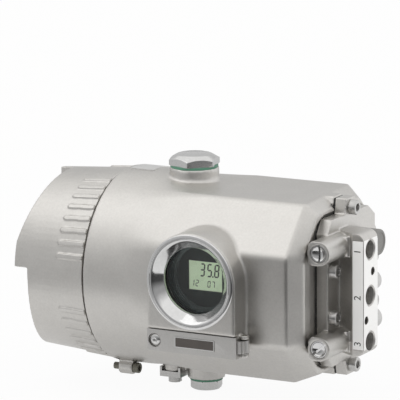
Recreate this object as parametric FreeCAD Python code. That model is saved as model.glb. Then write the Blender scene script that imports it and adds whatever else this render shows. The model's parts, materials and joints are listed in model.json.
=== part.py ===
import FreeCAD, Part
import math
import os
from FreeCAD import Vector as V

# A valve positioner in a flameproof stainless steel housing, in millimetres.
# The long axis of the housing is X: the screwed cap is at -X, the air connections are at +X.
# The window looks out along -Y, the feedback shaft leaves at +Y, and +Z is up.
# Everything is drawn from the long axis; the finished nodes are then moved so that the origin
# is the middle of the four mounting holes on the rear face.

# Housing: a round mouth that turns into an eight-sided body
RIM_R = 68.0                  # round mouth that the cap meets
MOUTH_X = -55.8               # face of the mouth
ROUND_END_X = -30.0           # where the round form begins to turn into facets
FACETS_FROM_X = 24.0          # where the facets are full
BODY_END_X = 107.0            # end face on the air side
HALF_DEPTH = 68.9             # axis to front facet
HALF_HEIGHT = 61.7            # axis to top facet
FACET_HALF = 31.1             # half the height of the front facet
EDGE_R = 7.0                  # rounding of the long edges
CHAMFER_XS = (100.0, 99.0, 93.0, 92.0, 90.0, 88.0, 90.0, 100.0)   # where the end bevel starts at each corner
END_CORNERS = ((-55.8, 29.5), (-36.4, 54.8), (28.0, 54.8), (54.0, 29.5))   # end face, its upper half
CHAMBER_R = HALF_HEIGHT - 5.7   # electronics chamber
CHAMBER_END_X = 93.0
FEED_THROUGH_R = 20.0         # passage for the air and signal lines in the end wall

# Cap joint
SPIGOT_R = RIM_R - 8.0        # bore of the mouth
THREAD_GAP = 0.08             # radial clearance of the cap's thread
THREAD_LENGTH = 18.0
JOINT_GAP = 1.6               # open groove between the cap and the rim
LAND_WIDTH = 3.0              # flat land inside that groove

# Cap
CAP_R = RIM_R - 2.0           # at the joint
CAP_TAPER = 3.4 / 47.0        # radius lost per length
CAP_LENGTH = 45.1             # joint to the base plane of the end
CAP_WALL = 5.5
CAP_END_WALL = 8.0
SPIGOT_WALL = 5.0
LUG_HEIGHT = 10.4             # four saw-tooth lugs for the cap wrench
LUG_CREST = 17.0
LUG_SLOPE = 0.235
LUG_COUNT = 4
LUG_FIRST_DEG = 3.5
LUG_INNER_R = 36.0
GRIP_LENGTH = 21.4            # grip bars next to the joint
GRIP_WIDTH = 3.4
GRIP_HEIGHT = 1.1
GRIP_PITCH_DEG = 8.0
GRIP_PER_GROUP = 8
GRIP_FIRST_DEG = 13.3
ORING_D = 2.4                 # cap seal
SEAL_GAP = 0.3                # space left round a seal that rubs on another body

# Window boss on the front
WINDOW_X = 37.1
WINDOW_Z = 11.9
BOSS_FRONT_Y = -85.8
BOSS_HALF_WIDTH = 33.0
BOSS_BOTTOM_Z = -37.2
WINDOW_THREAD_R = 29.5
WINDOW_TUNNEL_R = 24.5
WINDOW_SEAT_Y = -69.0         # shoulder that the glass is pressed on
GLASS_R = 28.6
GLASS_THICKNESS = 8.5
GASKET_THICKNESS = 1.0
BEZEL_R = 32.4
BEZEL_PROUD = 1.2
BEZEL_OPENING_R = 22.6
BEZEL_LIP = 1.6

# Button cover under the window
COVER_TOP_Z = -22.5
COVER_THICKNESS = 5.2
HINGE_X = 73.8
HINGE_Y = -78.2
HINGE_PIN_R = 1.5
HINGE_KNUCKLE_R = 3.2
HINGE_RUNNING_GAP = 0.05
KNUCKLE_TOP_Z = -25.0
KNUCKLE_BOTTOM_Z = -33.5
EAR_HEIGHT = 3.2
AXIAL_GAP = 0.3
COVER_SCREW_X = 9.7
COVER_SCREW_Z = -30.0
COVER_SCREW_HEAD_R = 4.2
COVER_SCREW_HEAD_H = 2.2
COVER_SCREW_R = 1.9
COVER_SCREW_LENGTH = 11.0
BADGE_X = (25.4, 54.9)
BADGE_Z = (-33.2, -26.1)
BADGE_THICKNESS = 0.8
BUTTON_XS = (24.0, 39.0, 54.0)
BUTTON_Z = -30.0
BUTTON_R = 4.4
BUTTON_HEAD = 3.0
BUTTON_STROKE = 1.5
BUTTON_POCKET = 8.0
BUTTON_STEM_R = 2.0
BUTTON_COVER_GAP = 0.4
BUTTON_KEY_GAP = 0.05         # left to the key contact when a button is pressed fully
SPRING_GAP = 0.3              # radial play of a return spring

# Cable entries with their plugs
TOP_ENTRY_X = -5.1
TOP_COLLAR_R = 17.0
TOP_COLLAR_Z = RIM_R + 4.0
COLLAR_BLEND = 5.0
ENTRY_THREAD_R = 10.0         # M20
PLUG_FLAT = 31.0              # hexagon of the top plug across its flats
PLUG_TURN_DEG = -18.0
PLUG_HEIGHT = 7.4
PLUG_SEAL = 1.6
PLUG_SHANK = 14.0
THREAD_FIT = 0.05
BOTTOM_ENTRY_X = 2.8
BOTTOM_COLLAR_R = 13.0
BOTTOM_COLLAR_Z = -(RIM_R + 7.0)
BOTTOM_PLUG_R = 11.3
BOTTOM_PLUG_HEIGHT = 6.2
BOTTOM_THREAD_R = 8.0

# Earth clamp and cap lock under the housing
CLAMP_X = -19.6
CLAMP_Y = -4.0
CLAMP_PAD_R = 8.0
CLAMP_PAD_Z = -(RIM_R + 3.5)
CLAMP_SIZE = (16.0, 15.0, 4.0)
CLAMP_SCREW_R = 2.5
CLAMP_HEAD_R = 4.6
CLAMP_HEAD_H = 4.4
LOCK_DEG = -72.0
LOCK_X = (-52.0, -41.5)
LOCK_SCREW_R = 2.4
LOCK_HEAD_R = 3.6
LOCK_HEAD_H = 4.0
LOCK_OUT_R = RIM_R + 4.2      # radius at which the lock screw sits

# Connection block on the air side
RECESS_DEPTH = 2.5
RECESS_Y = (-46.5, 44.0)
RECESS_HALF_Z = HALF_HEIGHT - 9.4
RECESS_CORNER_R = 24.0
RECESS_MARGIN = 1.8           # free width round the lobes of the block
PLATE_GASKET = 1.0
PLATE_THICKNESS = 8.2
PLATE_Y = (-34.8, 38.0)
PLATE_HALF_Z = HALF_HEIGHT - 11.4
PLATE_CORNERS = ((6.5, 9.2), (10.5, 7.5))   # cut corners in front and behind, depth by height
LOBE_Y = 0.5
LOBE_Z = HALF_HEIGHT - 7.5
LOBE_TOP_Z = HALF_HEIGHT - 0.9
LOBE_FOOT_Z = HALF_HEIGHT - 16.7
LOBE_HALF = (6.3, 9.7)        # half width at the top and at the foot
LUG_TOP_Z = HALF_HEIGHT - 0.2   # lug of the housing behind each lobe
LUG_START_X = 85.0
INNER_SCREW_Y = 28.9
INNER_SCREW_Z = 15.9
SCREW_HEAD_R = 5.0            # M6 socket cap screws
SCREW_HEAD_H = 5.3
SCREW_SOCKET = (5.0, 3.2)     # across the flats, and depth
SCREW_R = 3.0
SCREW_HOLE_R = 3.3
SCREW_SEAT_R = 5.6
SCREW_LENGTH = 20.0
ARM_X = 116.4                 # two arms with the air restrictors
ARM_Z = 32.4
ARM_R = 8.2
ARM_FRONT_Y = -54.0
ARM_OVERLAP = 4.0             # length of an arm inside the bar
ARM_BACK_X = 108.6            # flat back of the arms
ARM_BACK_HALF = 5.6
BRIDGE_HALF = 7.0             # half height of the web between arm and bar
BRIDGE_BACK = 3.0
RESTRICTOR_R = 6.1
RESTRICTOR_LENGTH = 12.0
RESTRICTOR_SLOT = (1.8, 1.6)  # width and depth
RESTRICTOR_SUNK = 0.6
LOWER_SLOT_DEG = 50.0
BAR_X = 136.0                 # port face
BAR_Y = (-17.0, -4.0)
BAR_HALF_Z = 42.0
BAR_PAD_X = 127.2             # front pad that carries the label
BAR_PAD_Y = -25.4
BAR_CORNER_R = 6.0
PORT_R = 6.58                 # G 1/4
PORT_DEPTH = 13.0
PORT_Y = -15.2
PORT_PITCH = 31.5
PORT_CENTRE_Z = -1.5
GAUGE_HOLES = ((-11.5, 14.6), (-21.2, -17.4))
GAUGE_HOLE_R = 2.5
GAUGE_HOLE_DEPTH = 8.0
DRILL_POINT = 0.6             # height of a drill point against its radius
LABEL_Z = 37.0
LABEL_EDGE = 0.6
LABEL_THICKNESS = 0.6
SILENCER_Y = 15.5
SILENCER_Z = 28.3
SILENCER_R = 8.9
SILENCER_NECK_R = 6.5
SILENCER_X = 128.5
REAR_PLUGS = ((5.0, 6.9), (-20.9, 7.3))   # height and radius of the plugs behind the bar
REAR_PLUG_X = 128.0
REAR_PLUG_OUT = 8.5
REAR_PLUG_SHANK = (4.8, 3.5)  # radius and length
REAR_PLUG_SOCKET = 4.0

# Feedback shaft and potentiometer drive
SHAFT_X = 30.0
SHAFT_Z = -10.0
SHAFT_R = 4.0                 # free end
SHAFT_OUT = 15.0
SHAFT_BEARING_R = 5.0
SHAFT_SHOULDER = 1.0          # height of the shoulder outside the bush
SHAFT_INNER_Y = 11.0
SHAFT_FIT = 0.04
SHAFT_FLAT = 1.0              # depth of the flat for the coupling
BUSH_R = 8.0
BUSH_LENGTH = 17.0
GEAR_MODULE = 1.0
SHAFT_TEETH = 40
POT_TEETH = 20
GEAR_WIDTH = 4.0
GEAR_Y = 24.0
GEAR_BACKLASH = 0.3
PRESSURE_ANGLE_DEG = 20.0
WHEEL_R = 13.0
WHEEL_WIDTH = 5.0
POT_R = 8.5
POT_LENGTH = 10.0
POT_SHAFT_R = 3.0
POT_SPINDLE = 4.0

# Electronics
CARRIER_Y = 6.0
CARRIER_THICKNESS = 3.0
CARRIER_X = (-26.0, 70.0)
CARRIER_HALF_Z = CHAMBER_R - 10.0
BOARD_THICKNESS = 1.6
BOARD_POST = 8.0
BOARD_X = (-20.0, 62.0)
BOARD_HALF_Z = 36.0
POST_R = 3.0
TERMINAL_X = (-28.0, -14.0)
TERMINAL_HALF_Z = 30.0
TERMINAL_DEPTH = 14.0
TERMINAL_COUNT = 8
DISPLAY_FRONT_Y = -60.0
DISPLAY_SIZE = (25.4, 20.0)
DISPLAY_FRAME = (33.0, 28.0)
DISPLAY_PANEL_R = 23.4
SHROUD_R = 24.2
SHROUD_WALL = 1.6
DISPLAY_BOARD_X = (12.0, 62.0)
DISPLAY_BOARD_Z = (-33.0, 27.0)
DISPLAY_POST_INSET = (6.5, 6.0)
KEY_SWITCH = (6.0, 0.7)       # width and height of a key contact
VALVE_BLOCK_X = (64.0, CHAMBER_END_X)
VALVE_BLOCK_Y = (-30.0, 4.0)
VALVE_BLOCK_HALF_Z = 26.0
PILOT_Z = 14.0
PILOT_SIZE = (16.0, 11.0)     # width and height of a pilot valve
FOOT_Z = 32.0
FOOT_WIDTH = 10.0
RAIL_HEIGHT = 6.0
RAIL_PLUG_GAP = 2.0           # free height below the shank of the top plug

# Rear mounting holes, M8
MOUNT_X = 37.0
MOUNT_SPACING_X = 60.0
MOUNT_SPACING_Z = 46.0
MOUNT_HOLE_R = 3.4
MOUNT_HOLE_DEPTH = 13.0
PAD_HALF = (40.0, 30.0)       # flat pad round the mounting holes
PAD_DEPTH = 12.0

# Plates on the skin
RATING_X = (-51.0, -33.0)
RATING_DEG = (84.0, 112.0)
RATING_THICKNESS = 0.6

CAP_FACE_X = MOUTH_X - JOINT_GAP
CAP_BASE_X = CAP_FACE_X - CAP_LENGTH
COVER_BACK_Y = BOSS_FRONT_Y + COVER_THICKNESS
GLASS_BACK_Y = WINDOW_SEAT_Y - GASKET_THICKNESS
GLASS_FRONT_Y = GLASS_BACK_Y - GLASS_THICKNESS
RECESS_X = BODY_END_X - RECESS_DEPTH
PLATE_BACK_X = RECESS_X + PLATE_GASKET
PLATE_FACE_X = PLATE_BACK_X + PLATE_THICKNESS
DISPLAY_BACK_Y = -math.sqrt((CHAMBER_R - 1.0) ** 2 - DISPLAY_BOARD_Z[0] ** 2)
BUTTON_STEM_END_Y = DISPLAY_BACK_Y - KEY_SWITCH[1] - BUTTON_STROKE - BUTTON_KEY_GAP
DIAGONAL = HALF_DEPTH + FACET_HALF
PORT_ZS = [PORT_CENTRE_Z + k * PORT_PITCH for k in (1, 0, -1)]
INNER_SCREWS = [(sy * INNER_SCREW_Y, sz * INNER_SCREW_Z) for sy in (-1, 1) for sz in (1, -1)]
LOBE_SCREWS = [(LOBE_Y, LOBE_Z), (LOBE_Y, -LOBE_Z)]
ORIGIN = V(MOUNT_X, HALF_DEPTH, 0.0)
AXIS = {"x": V(1, 0, 0), "y": V(0, 1, 0), "z": V(0, 0, 1)}


def rod(axis, start, end, radius, at=(0.0, 0.0)):
    """A cylinder along an axis; at gives the two other coordinates in X, Y, Z order."""
    place = list(at)
    place.insert("xyz".index(axis), min(start, end))
    return Part.makeCylinder(radius, abs(end - start), V(*place), AXIS[axis])


def tube(axis, start, end, outer, inner, at=(0.0, 0.0)):
    """A ring or sleeve along an axis."""
    return rod(axis, start, end, outer, at).cut(rod(axis, start, end, inner, at))


def block(x, y, z):
    """A box from three ranges."""
    size = [abs(r[1] - r[0]) for r in (x, y, z)]
    return Part.makeBox(size[0], size[1], size[2], V(min(x), min(y), min(z)))


def cone_x(start, end, radius_start, radius_end):
    """A cone along X, from start to end."""
    return Part.makeCone(radius_start, radius_end, end - start, V(start, 0, 0), AXIS["x"])


def prism(points, direction):
    """A solid swept from a closed polygon of 3-D points."""
    wire = Part.makePolygon(points + [points[0]])
    return Part.Face(wire).extrude(direction)


def revolve(profile, axis_point, axis_direction):
    """A closed polygon of 3-D points turned once round an axis."""
    wire = Part.makePolygon(profile + [profile[0]])
    return Part.Face(wire).revolve(axis_point, axis_direction, 360)


def hexagon(axis, start, end, flats, at=(0.0, 0.0), turn_deg=0.0):
    """A hexagonal bar given by its size across the flats."""
    corner_r = flats / math.sqrt(3.0)
    points = []
    for k in range(6):
        a = math.radians(turn_deg + 60.0 * k)
        place = [at[0] + corner_r * math.cos(a), at[1] + corner_r * math.sin(a)]
        place.insert("xyz".index(axis), start)
        points.append(V(*place))
    return prism(points, AXIS[axis] * (end - start))


def cut_all(shape, tools):
    """Take many tools away in one go."""
    return shape.cut(tools[0].multiFuse(tools[1:]) if len(tools) > 1 else tools[0])


def all_corners(upper):
    """The upper corners of an eight-sided section in Y and Z, and their mirror images below."""
    return list(upper) + [(y, -z) for y, z in reversed(upper)]


def body_corners():
    """The eight corners of the body's section in Y and Z."""
    side, top = DIAGONAL - HALF_DEPTH, DIAGONAL - HALF_HEIGHT
    return all_corners([(-HALF_DEPTH, side), (-top, HALF_HEIGHT), (top, HALF_HEIGHT), (HALF_DEPTH, side)])


def facet_section(xs, corners, edge_r):
    """Wire of eight sides joined by eight arcs; each corner has its own place along X."""
    spots = [V(x, y, z) for x, (y, z) in zip(xs, corners)]
    edges, ends = [], []
    for k, corner in enumerate(spots):
        before = (spots[k - 1] - corner).normalize()
        after = (spots[(k + 1) % 8] - corner).normalize()
        half = before.getAngle(after) / 2.0
        reach = edge_r / math.tan(half)
        middle = (before + after).normalize() * (edge_r / math.sin(half) - edge_r)
        ends.append((corner + before * reach, corner + middle, corner + after * reach))
    for k, (first, mid, last) in enumerate(ends):
        edges.append(Part.Arc(first, mid, last).toShape())
        edges.append(Part.makeLine(last, ends[(k + 1) % 8][0]))
    return Part.Wire(edges)


def ruled_solid(sections):
    """A solid through sections of as many edges, side by side in order."""
    faces = [Part.Face(sections[0]), Part.Face(sections[-1])]
    for first, second in zip(sections, sections[1:]):
        faces += [Part.makeRuledSurface(a, b) for a, b in zip(first.Edges, second.Edges)]
    shell = Part.Shell(faces)
    shell.sewShape()
    return Part.Solid(shell)


def round_section(x, radius):
    """Circle cut into the same sixteen edges, so that it lofts cleanly to the facets."""
    half = math.radians(4.0)
    angles = [math.atan2(z, y) for y, z in body_corners()]
    for k in range(1, 8):
        while angles[k] > angles[k - 1]:
            angles[k] -= 2.0 * math.pi
    spot = lambda a: V(x, radius * math.cos(a), radius * math.sin(a))
    edges = []
    for k, a in enumerate(angles):
        following = angles[k + 1] if k < 7 else angles[0] - 2.0 * math.pi
        edges.append(Part.Arc(spot(a + half), spot(a), spot(a - half)).toShape())
        start, stop = a - half, following + half
        edges.append(Part.Arc(spot(start), spot((start + stop) / 2), spot(stop)).toShape())
    return Part.Wire(edges)


def rounded_plate(x, thickness, y, half_z, corner_r):
    """A plate across X with four rounded corners."""
    core = block((x, x + thickness), y, (-half_z + corner_r, half_z - corner_r))
    parts = [block((x, x + thickness), (y[0] + corner_r, y[1] - corner_r), (-half_z, half_z))]
    for centre_y in (y[0] + corner_r, y[1] - corner_r):
        for centre_z in (corner_r - half_z, half_z - corner_r):
            parts.append(rod("x", x, x + thickness, corner_r, (centre_y, centre_z)))
    return core.multiFuse(parts).removeSplitter()


def lobes(x, length, top_z, foot_z, half):
    """The tapered blocks round the two outer screws; half is the half width at the top and the foot."""
    shapes = []
    for s in (1, -1):
        outline = [(LOBE_Y - half[1], foot_z), (LOBE_Y - half[0], top_z),
                   (LOBE_Y + half[0], top_z), (LOBE_Y + half[1], foot_z)]
        shapes.append(prism([V(x, y, s * z) for y, z in outline], V(length, 0, 0)))
    return shapes


def drilled(depth, radius, at):
    """A blind hole into the port face, with its drill point."""
    hole = rod("x", BAR_X - depth, BAR_X, radius, at)
    tip = Part.makeCone(radius, 0, radius * DRILL_POINT, V(BAR_X - depth, at[0], at[1]), -AXIS["x"])
    return hole.fuse(tip)


def arch(front, back, half_width, bottom):
    """The tombstone-shaped boss: straight below the window's centre, round above it."""
    straight = block((WINDOW_X - half_width, WINDOW_X + half_width), (front, back), (bottom, WINDOW_Z))
    return straight.fuse(rod("y", front, back, half_width, (WINDOW_X, WINDOW_Z)))


def collar(x, radius, skin, end, blend):
    """Round boss on the top or bottom facet, with a curved foot."""
    up = 1.0 if end > 0 else -1.0
    steps = 5
    points = [V(x, 0, up * (skin - 6.0)), V(x + radius + blend, 0, up * (skin - 6.0))]
    for k in range(steps + 1):
        a = math.radians(90.0 * k / steps)
        points.append(V(x + radius + blend * (1.0 - math.sin(a)), 0,
                        up * (skin - 0.4 + blend * (1.0 - math.cos(a)))))
    points += [V(x + radius, 0, end), V(x, 0, end)]
    return revolve(points, V(x, 0, 0), V(0, 0, 1))


def socket_screw(face_x, y, z):
    """Socket cap screw with its head on the plate, pointing to -X."""
    head = rod("x", face_x, face_x + SCREW_HEAD_H, SCREW_HEAD_R, (y, z))
    flats, deep = SCREW_SOCKET
    socket = hexagon("x", face_x + SCREW_HEAD_H - deep, face_x + SCREW_HEAD_H, flats, (y, z))
    shank = rod("x", face_x - SCREW_LENGTH, face_x, SCREW_R, (y, z))
    return head.cut(socket).fuse(shank)


def make_housing():
    """The casting that carries everything."""
    mouth = rod("x", MOUTH_X, ROUND_END_X, RIM_R)
    body = ruled_solid([round_section(ROUND_END_X, RIM_R),
                        facet_section([FACETS_FROM_X] * 8, body_corners(), EDGE_R),
                        facet_section(CHAMFER_XS, body_corners(), EDGE_R),
                        facet_section([BODY_END_X] * 8, all_corners(END_CORNERS), EDGE_R)])
    land = rod("x", CAP_FACE_X, MOUTH_X, SPIGOT_R + LAND_WIDTH)
    boss = arch(BOSS_FRONT_Y, -50.0, BOSS_HALF_WIDTH, BOSS_BOTTOM_Z)
    top = collar(TOP_ENTRY_X, TOP_COLLAR_R, HALF_HEIGHT, TOP_COLLAR_Z, COLLAR_BLEND)
    bottom = collar(BOTTOM_ENTRY_X, BOTTOM_COLLAR_R, HALF_HEIGHT, BOTTOM_COLLAR_Z, COLLAR_BLEND)
    clamp_pad = rod("z", CLAMP_PAD_Z, -56.0, CLAMP_PAD_R, (CLAMP_X, CLAMP_Y))
    lugs = lobes(LUG_START_X, RECESS_X - LUG_START_X, LUG_TOP_Z, LOBE_FOOT_Z, LOBE_HALF)
    rear_pad = block((MOUNT_X - PAD_HALF[0], MOUNT_X + PAD_HALF[0]), (HALF_DEPTH - PAD_DEPTH, HALF_DEPTH),
                     (-PAD_HALF[1], PAD_HALF[1]))
    lock = lock_position()
    lock_lug = rod("x", LOCK_X[0], LOCK_X[1], LOCK_HEAD_R + 1.2, lock)
    ears = [rod("z", low, low + EAR_HEIGHT, HINGE_KNUCKLE_R, (HINGE_X, HINGE_Y))
            for low in (KNUCKLE_TOP_Z + AXIAL_GAP, KNUCKLE_BOTTOM_Z - AXIAL_GAP - EAR_HEIGHT)]
    roots = [block((WINDOW_X + BOSS_HALF_WIDTH - 2.0, HINGE_X),
                   (COVER_BACK_Y + AXIAL_GAP, HINGE_Y + HINGE_KNUCKLE_R), (low, low + EAR_HEIGHT))
             for low in (KNUCKLE_TOP_Z + AXIAL_GAP, KNUCKLE_BOTTOM_Z - AXIAL_GAP - EAR_HEIGHT)]
    outside = [body, land, boss, top, bottom, clamp_pad, rear_pad, lock_lug] + lugs + ears + roots
    solid = mouth.multiFuse(outside)

    bore = [rod("x", CAP_FACE_X, MOUTH_X + THREAD_LENGTH + 1.0, SPIGOT_R),
            rod("x", MOUTH_X + THREAD_LENGTH, CHAMBER_END_X, CHAMBER_R),
            rod("x", CHAMBER_END_X, RECESS_X, FEED_THROUGH_R)]
    window = [rod("y", BOSS_FRONT_Y, WINDOW_SEAT_Y, WINDOW_THREAD_R, (WINDOW_X, WINDOW_Z)),
              rod("y", WINDOW_SEAT_Y, -CHAMBER_R / 2, WINDOW_TUNNEL_R, (WINDOW_X, WINDOW_Z))]
    cover_seat = [block((WINDOW_X - BOSS_HALF_WIDTH, WINDOW_X + BOSS_HALF_WIDTH),
                        (BOSS_FRONT_Y, COVER_BACK_Y), (BOSS_BOTTOM_Z, COVER_TOP_Z + AXIAL_GAP))]
    buttons = []
    for x in BUTTON_XS:
        buttons.append(rod("y", COVER_BACK_Y, COVER_BACK_Y + BUTTON_POCKET, BUTTON_R + 0.3, (x, BUTTON_Z)))
        buttons.append(rod("y", COVER_BACK_Y, -CHAMBER_R / 2, BUTTON_STEM_R + HINGE_RUNNING_GAP,
                           (x, BUTTON_Z)))
    screw_hole = rod("y", COVER_BACK_Y, COVER_BACK_Y + 8.0, COVER_SCREW_R + 0.6,
                     (COVER_SCREW_X, COVER_SCREW_Z))
    pin_hole = rod("z", KNUCKLE_BOTTOM_Z - 6.0, KNUCKLE_TOP_Z + 6.0, HINGE_PIN_R, (HINGE_X, HINGE_Y))
    entries = [rod("z", CHAMBER_R / 2, TOP_COLLAR_Z, ENTRY_THREAD_R, (TOP_ENTRY_X, 0)),
               rod("z", BOTTOM_COLLAR_Z, -CHAMBER_R / 2, BOTTOM_THREAD_R, (BOTTOM_ENTRY_X, 0))]
    clamp_hole = rod("z", CLAMP_PAD_Z, CLAMP_PAD_Z + 9.0, CLAMP_SCREW_R + THREAD_FIT, (CLAMP_X, CLAMP_Y))
    lock_hole = rod("x", LOCK_X[0], LOCK_X[1], LOCK_SCREW_R + THREAD_FIT, lock)
    recess = rounded_plate(RECESS_X, RECESS_DEPTH + 1.0, RECESS_Y, RECESS_HALF_Z, RECESS_CORNER_R)
    slot_half = LOBE_HALF[1] + RECESS_MARGIN
    slot = block((RECESS_X, BODY_END_X + 1.0), (LOBE_Y - slot_half, LOBE_Y + slot_half),
                 (-HALF_HEIGHT, HALF_HEIGHT))
    plate_holes = [rod("x", PLATE_FACE_X - SCREW_LENGTH - 1.0, RECESS_X, SCREW_R + THREAD_FIT, at)
                   for at in LOBE_SCREWS + INNER_SCREWS]
    shaft_hole = rod("y", CHAMBER_R / 2, HALF_DEPTH, BUSH_R, (SHAFT_X, SHAFT_Z))
    mount_holes = [rod("y", HALF_DEPTH - MOUNT_HOLE_DEPTH, HALF_DEPTH, MOUNT_HOLE_R,
                       (MOUNT_X + sx * MOUNT_SPACING_X / 2, sz * MOUNT_SPACING_Z / 2))
                   for sx in (-1, 1) for sz in (-1, 1)]
    tools = bore + window + cover_seat + buttons + entries + plate_holes + mount_holes
    tools += [screw_hole, pin_hole, clamp_hole, lock_hole, recess, slot, shaft_hole]
    return cut_all(solid, tools)


def lock_position():
    """Y and Z of the lock screw below the mouth."""
    a = math.radians(LOCK_DEG)
    return (-LOCK_OUT_R * math.cos(a), LOCK_OUT_R * math.sin(a))


def make_cap():
    """Screwed cap with grip bars and four saw-tooth lugs on its end."""
    end_r = CAP_R - CAP_TAPER * CAP_LENGTH
    crest_r = CAP_R - CAP_TAPER * (CAP_LENGTH + LUG_HEIGHT)
    shell = cone_x(CAP_BASE_X, CAP_FACE_X, end_r, CAP_R)
    spigot = rod("x", CAP_FACE_X, MOUTH_X + THREAD_LENGTH, SPIGOT_R - THREAD_GAP)
    mouth_hollow = rod("x", CAP_BASE_X + CAP_END_WALL, MOUTH_X + THREAD_LENGTH, SPIGOT_R - SPIGOT_WALL)
    hollow = rod("x", CAP_BASE_X + CAP_END_WALL, CAP_FACE_X - 8.0, end_r - CAP_WALL).fuse(mouth_hollow)
    groove_x = seal_centre_x()
    groove = tube("x", groove_x - ORING_D / 2 - SEAL_GAP, groove_x + ORING_D / 2 + SEAL_GAP,
                  SPIGOT_R + 1.0, seal_ring_r() - ORING_D / 2 - SEAL_GAP)
    end_dish = rod("x", CAP_BASE_X, CAP_BASE_X + 1.5, LUG_INNER_R)
    cap = shell.fuse(spigot).cut(hollow).cut(groove).cut(end_dish)

    ramp = LUG_HEIGHT / LUG_SLOPE
    profile = [(0.0, 0.0), (0.0, LUG_HEIGHT), (LUG_CREST, LUG_HEIGHT), (LUG_CREST + ramp, 0.0)]
    ring = cone_x(CAP_BASE_X - LUG_HEIGHT, CAP_BASE_X, crest_r, end_r)
    ring = ring.cut(rod("x", CAP_BASE_X - LUG_HEIGHT, CAP_BASE_X, LUG_INNER_R))
    lugs = []
    for k in range(LUG_COUNT):
        a = math.radians(LUG_FIRST_DEG + 360.0 / LUG_COUNT * k)
        along = V(0, -math.cos(a), math.sin(a))
        across = V(0, math.sin(a), math.cos(a))
        points = [V(CAP_BASE_X - rise, 0, 0) + across * w for w, rise in profile]
        lugs.append(prism(points, along * (CAP_R + 5.0)).common(ring))

    bars = []
    bar_start = CAP_FACE_X - GRIP_LENGTH
    for group in range(LUG_COUNT):
        for k in range(GRIP_PER_GROUP):
            angle = GRIP_FIRST_DEG + k * GRIP_PITCH_DEG + group * 360.0 / LUG_COUNT
            flat = block((bar_start + GRIP_WIDTH / 2, CAP_FACE_X - 0.6),
                         (-GRIP_WIDTH / 2, GRIP_WIDTH / 2), (CAP_R - 8.0, CAP_R + 4.0))
            tip = rod("z", CAP_R - 8.0, CAP_R + 4.0, GRIP_WIDTH / 2, (bar_start + GRIP_WIDTH / 2, 0))
            bar = flat.fuse(tip)
            bar.rotate(V(0, 0, 0), V(1, 0, 0), 90.0 - angle)
            bars.append(bar)
    over = cone_x(CAP_BASE_X, CAP_FACE_X, end_r + GRIP_HEIGHT, CAP_R + GRIP_HEIGHT)
    under = cone_x(CAP_BASE_X, CAP_FACE_X, end_r - 1.0, CAP_R - 1.0)
    grip_skin = over.cut(under)
    grips = [bar.common(grip_skin) for bar in bars]
    return cap.multiFuse(lugs + grips)


def seal_centre_x():
    """Middle of the cap's seal along X."""
    return MOUTH_X + SEAL_GAP + ORING_D


def seal_ring_r():
    """Radius of the cap's seal to the middle of its cord."""
    return SPIGOT_R - SEAL_GAP - ORING_D / 2


def make_cap_seal():
    """O-ring of the cap."""
    return Part.makeTorus(seal_ring_r(), ORING_D / 2, V(seal_centre_x(), 0, 0), AXIS["x"])


def make_window():
    """Glass, its gasket and the polished ring that is screwed in over them."""
    at = (WINDOW_X, WINDOW_Z)
    gasket = tube("y", GLASS_BACK_Y, WINDOW_SEAT_Y, GLASS_R, WINDOW_TUNNEL_R, at)
    glass = rod("y", GLASS_FRONT_Y, GLASS_BACK_Y, GLASS_R, at)
    front = BOSS_FRONT_Y - BEZEL_PROUD
    lip_y = GLASS_FRONT_Y - BEZEL_LIP
    bevel_r = WINDOW_THREAD_R - 1.0
    profile = [(BEZEL_OPENING_R, GLASS_FRONT_Y), (WINDOW_THREAD_R, GLASS_FRONT_Y),
               (WINDOW_THREAD_R, BOSS_FRONT_Y), (BEZEL_R, BOSS_FRONT_Y),
               (BEZEL_R, front + 0.5), (BEZEL_R - 0.9, front + 0.5), (BEZEL_R - 0.9, front),
               (bevel_r, front), (BEZEL_OPENING_R, lip_y)]
    points = [V(WINDOW_X + r, y, WINDOW_Z) for r, y in profile]
    bezel = revolve(points, V(WINDOW_X, 0, WINDOW_Z), V(0, 1, 0))
    return {"window_gasket": gasket, "window_glass": glass, "bezel_ring": bezel}


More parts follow.
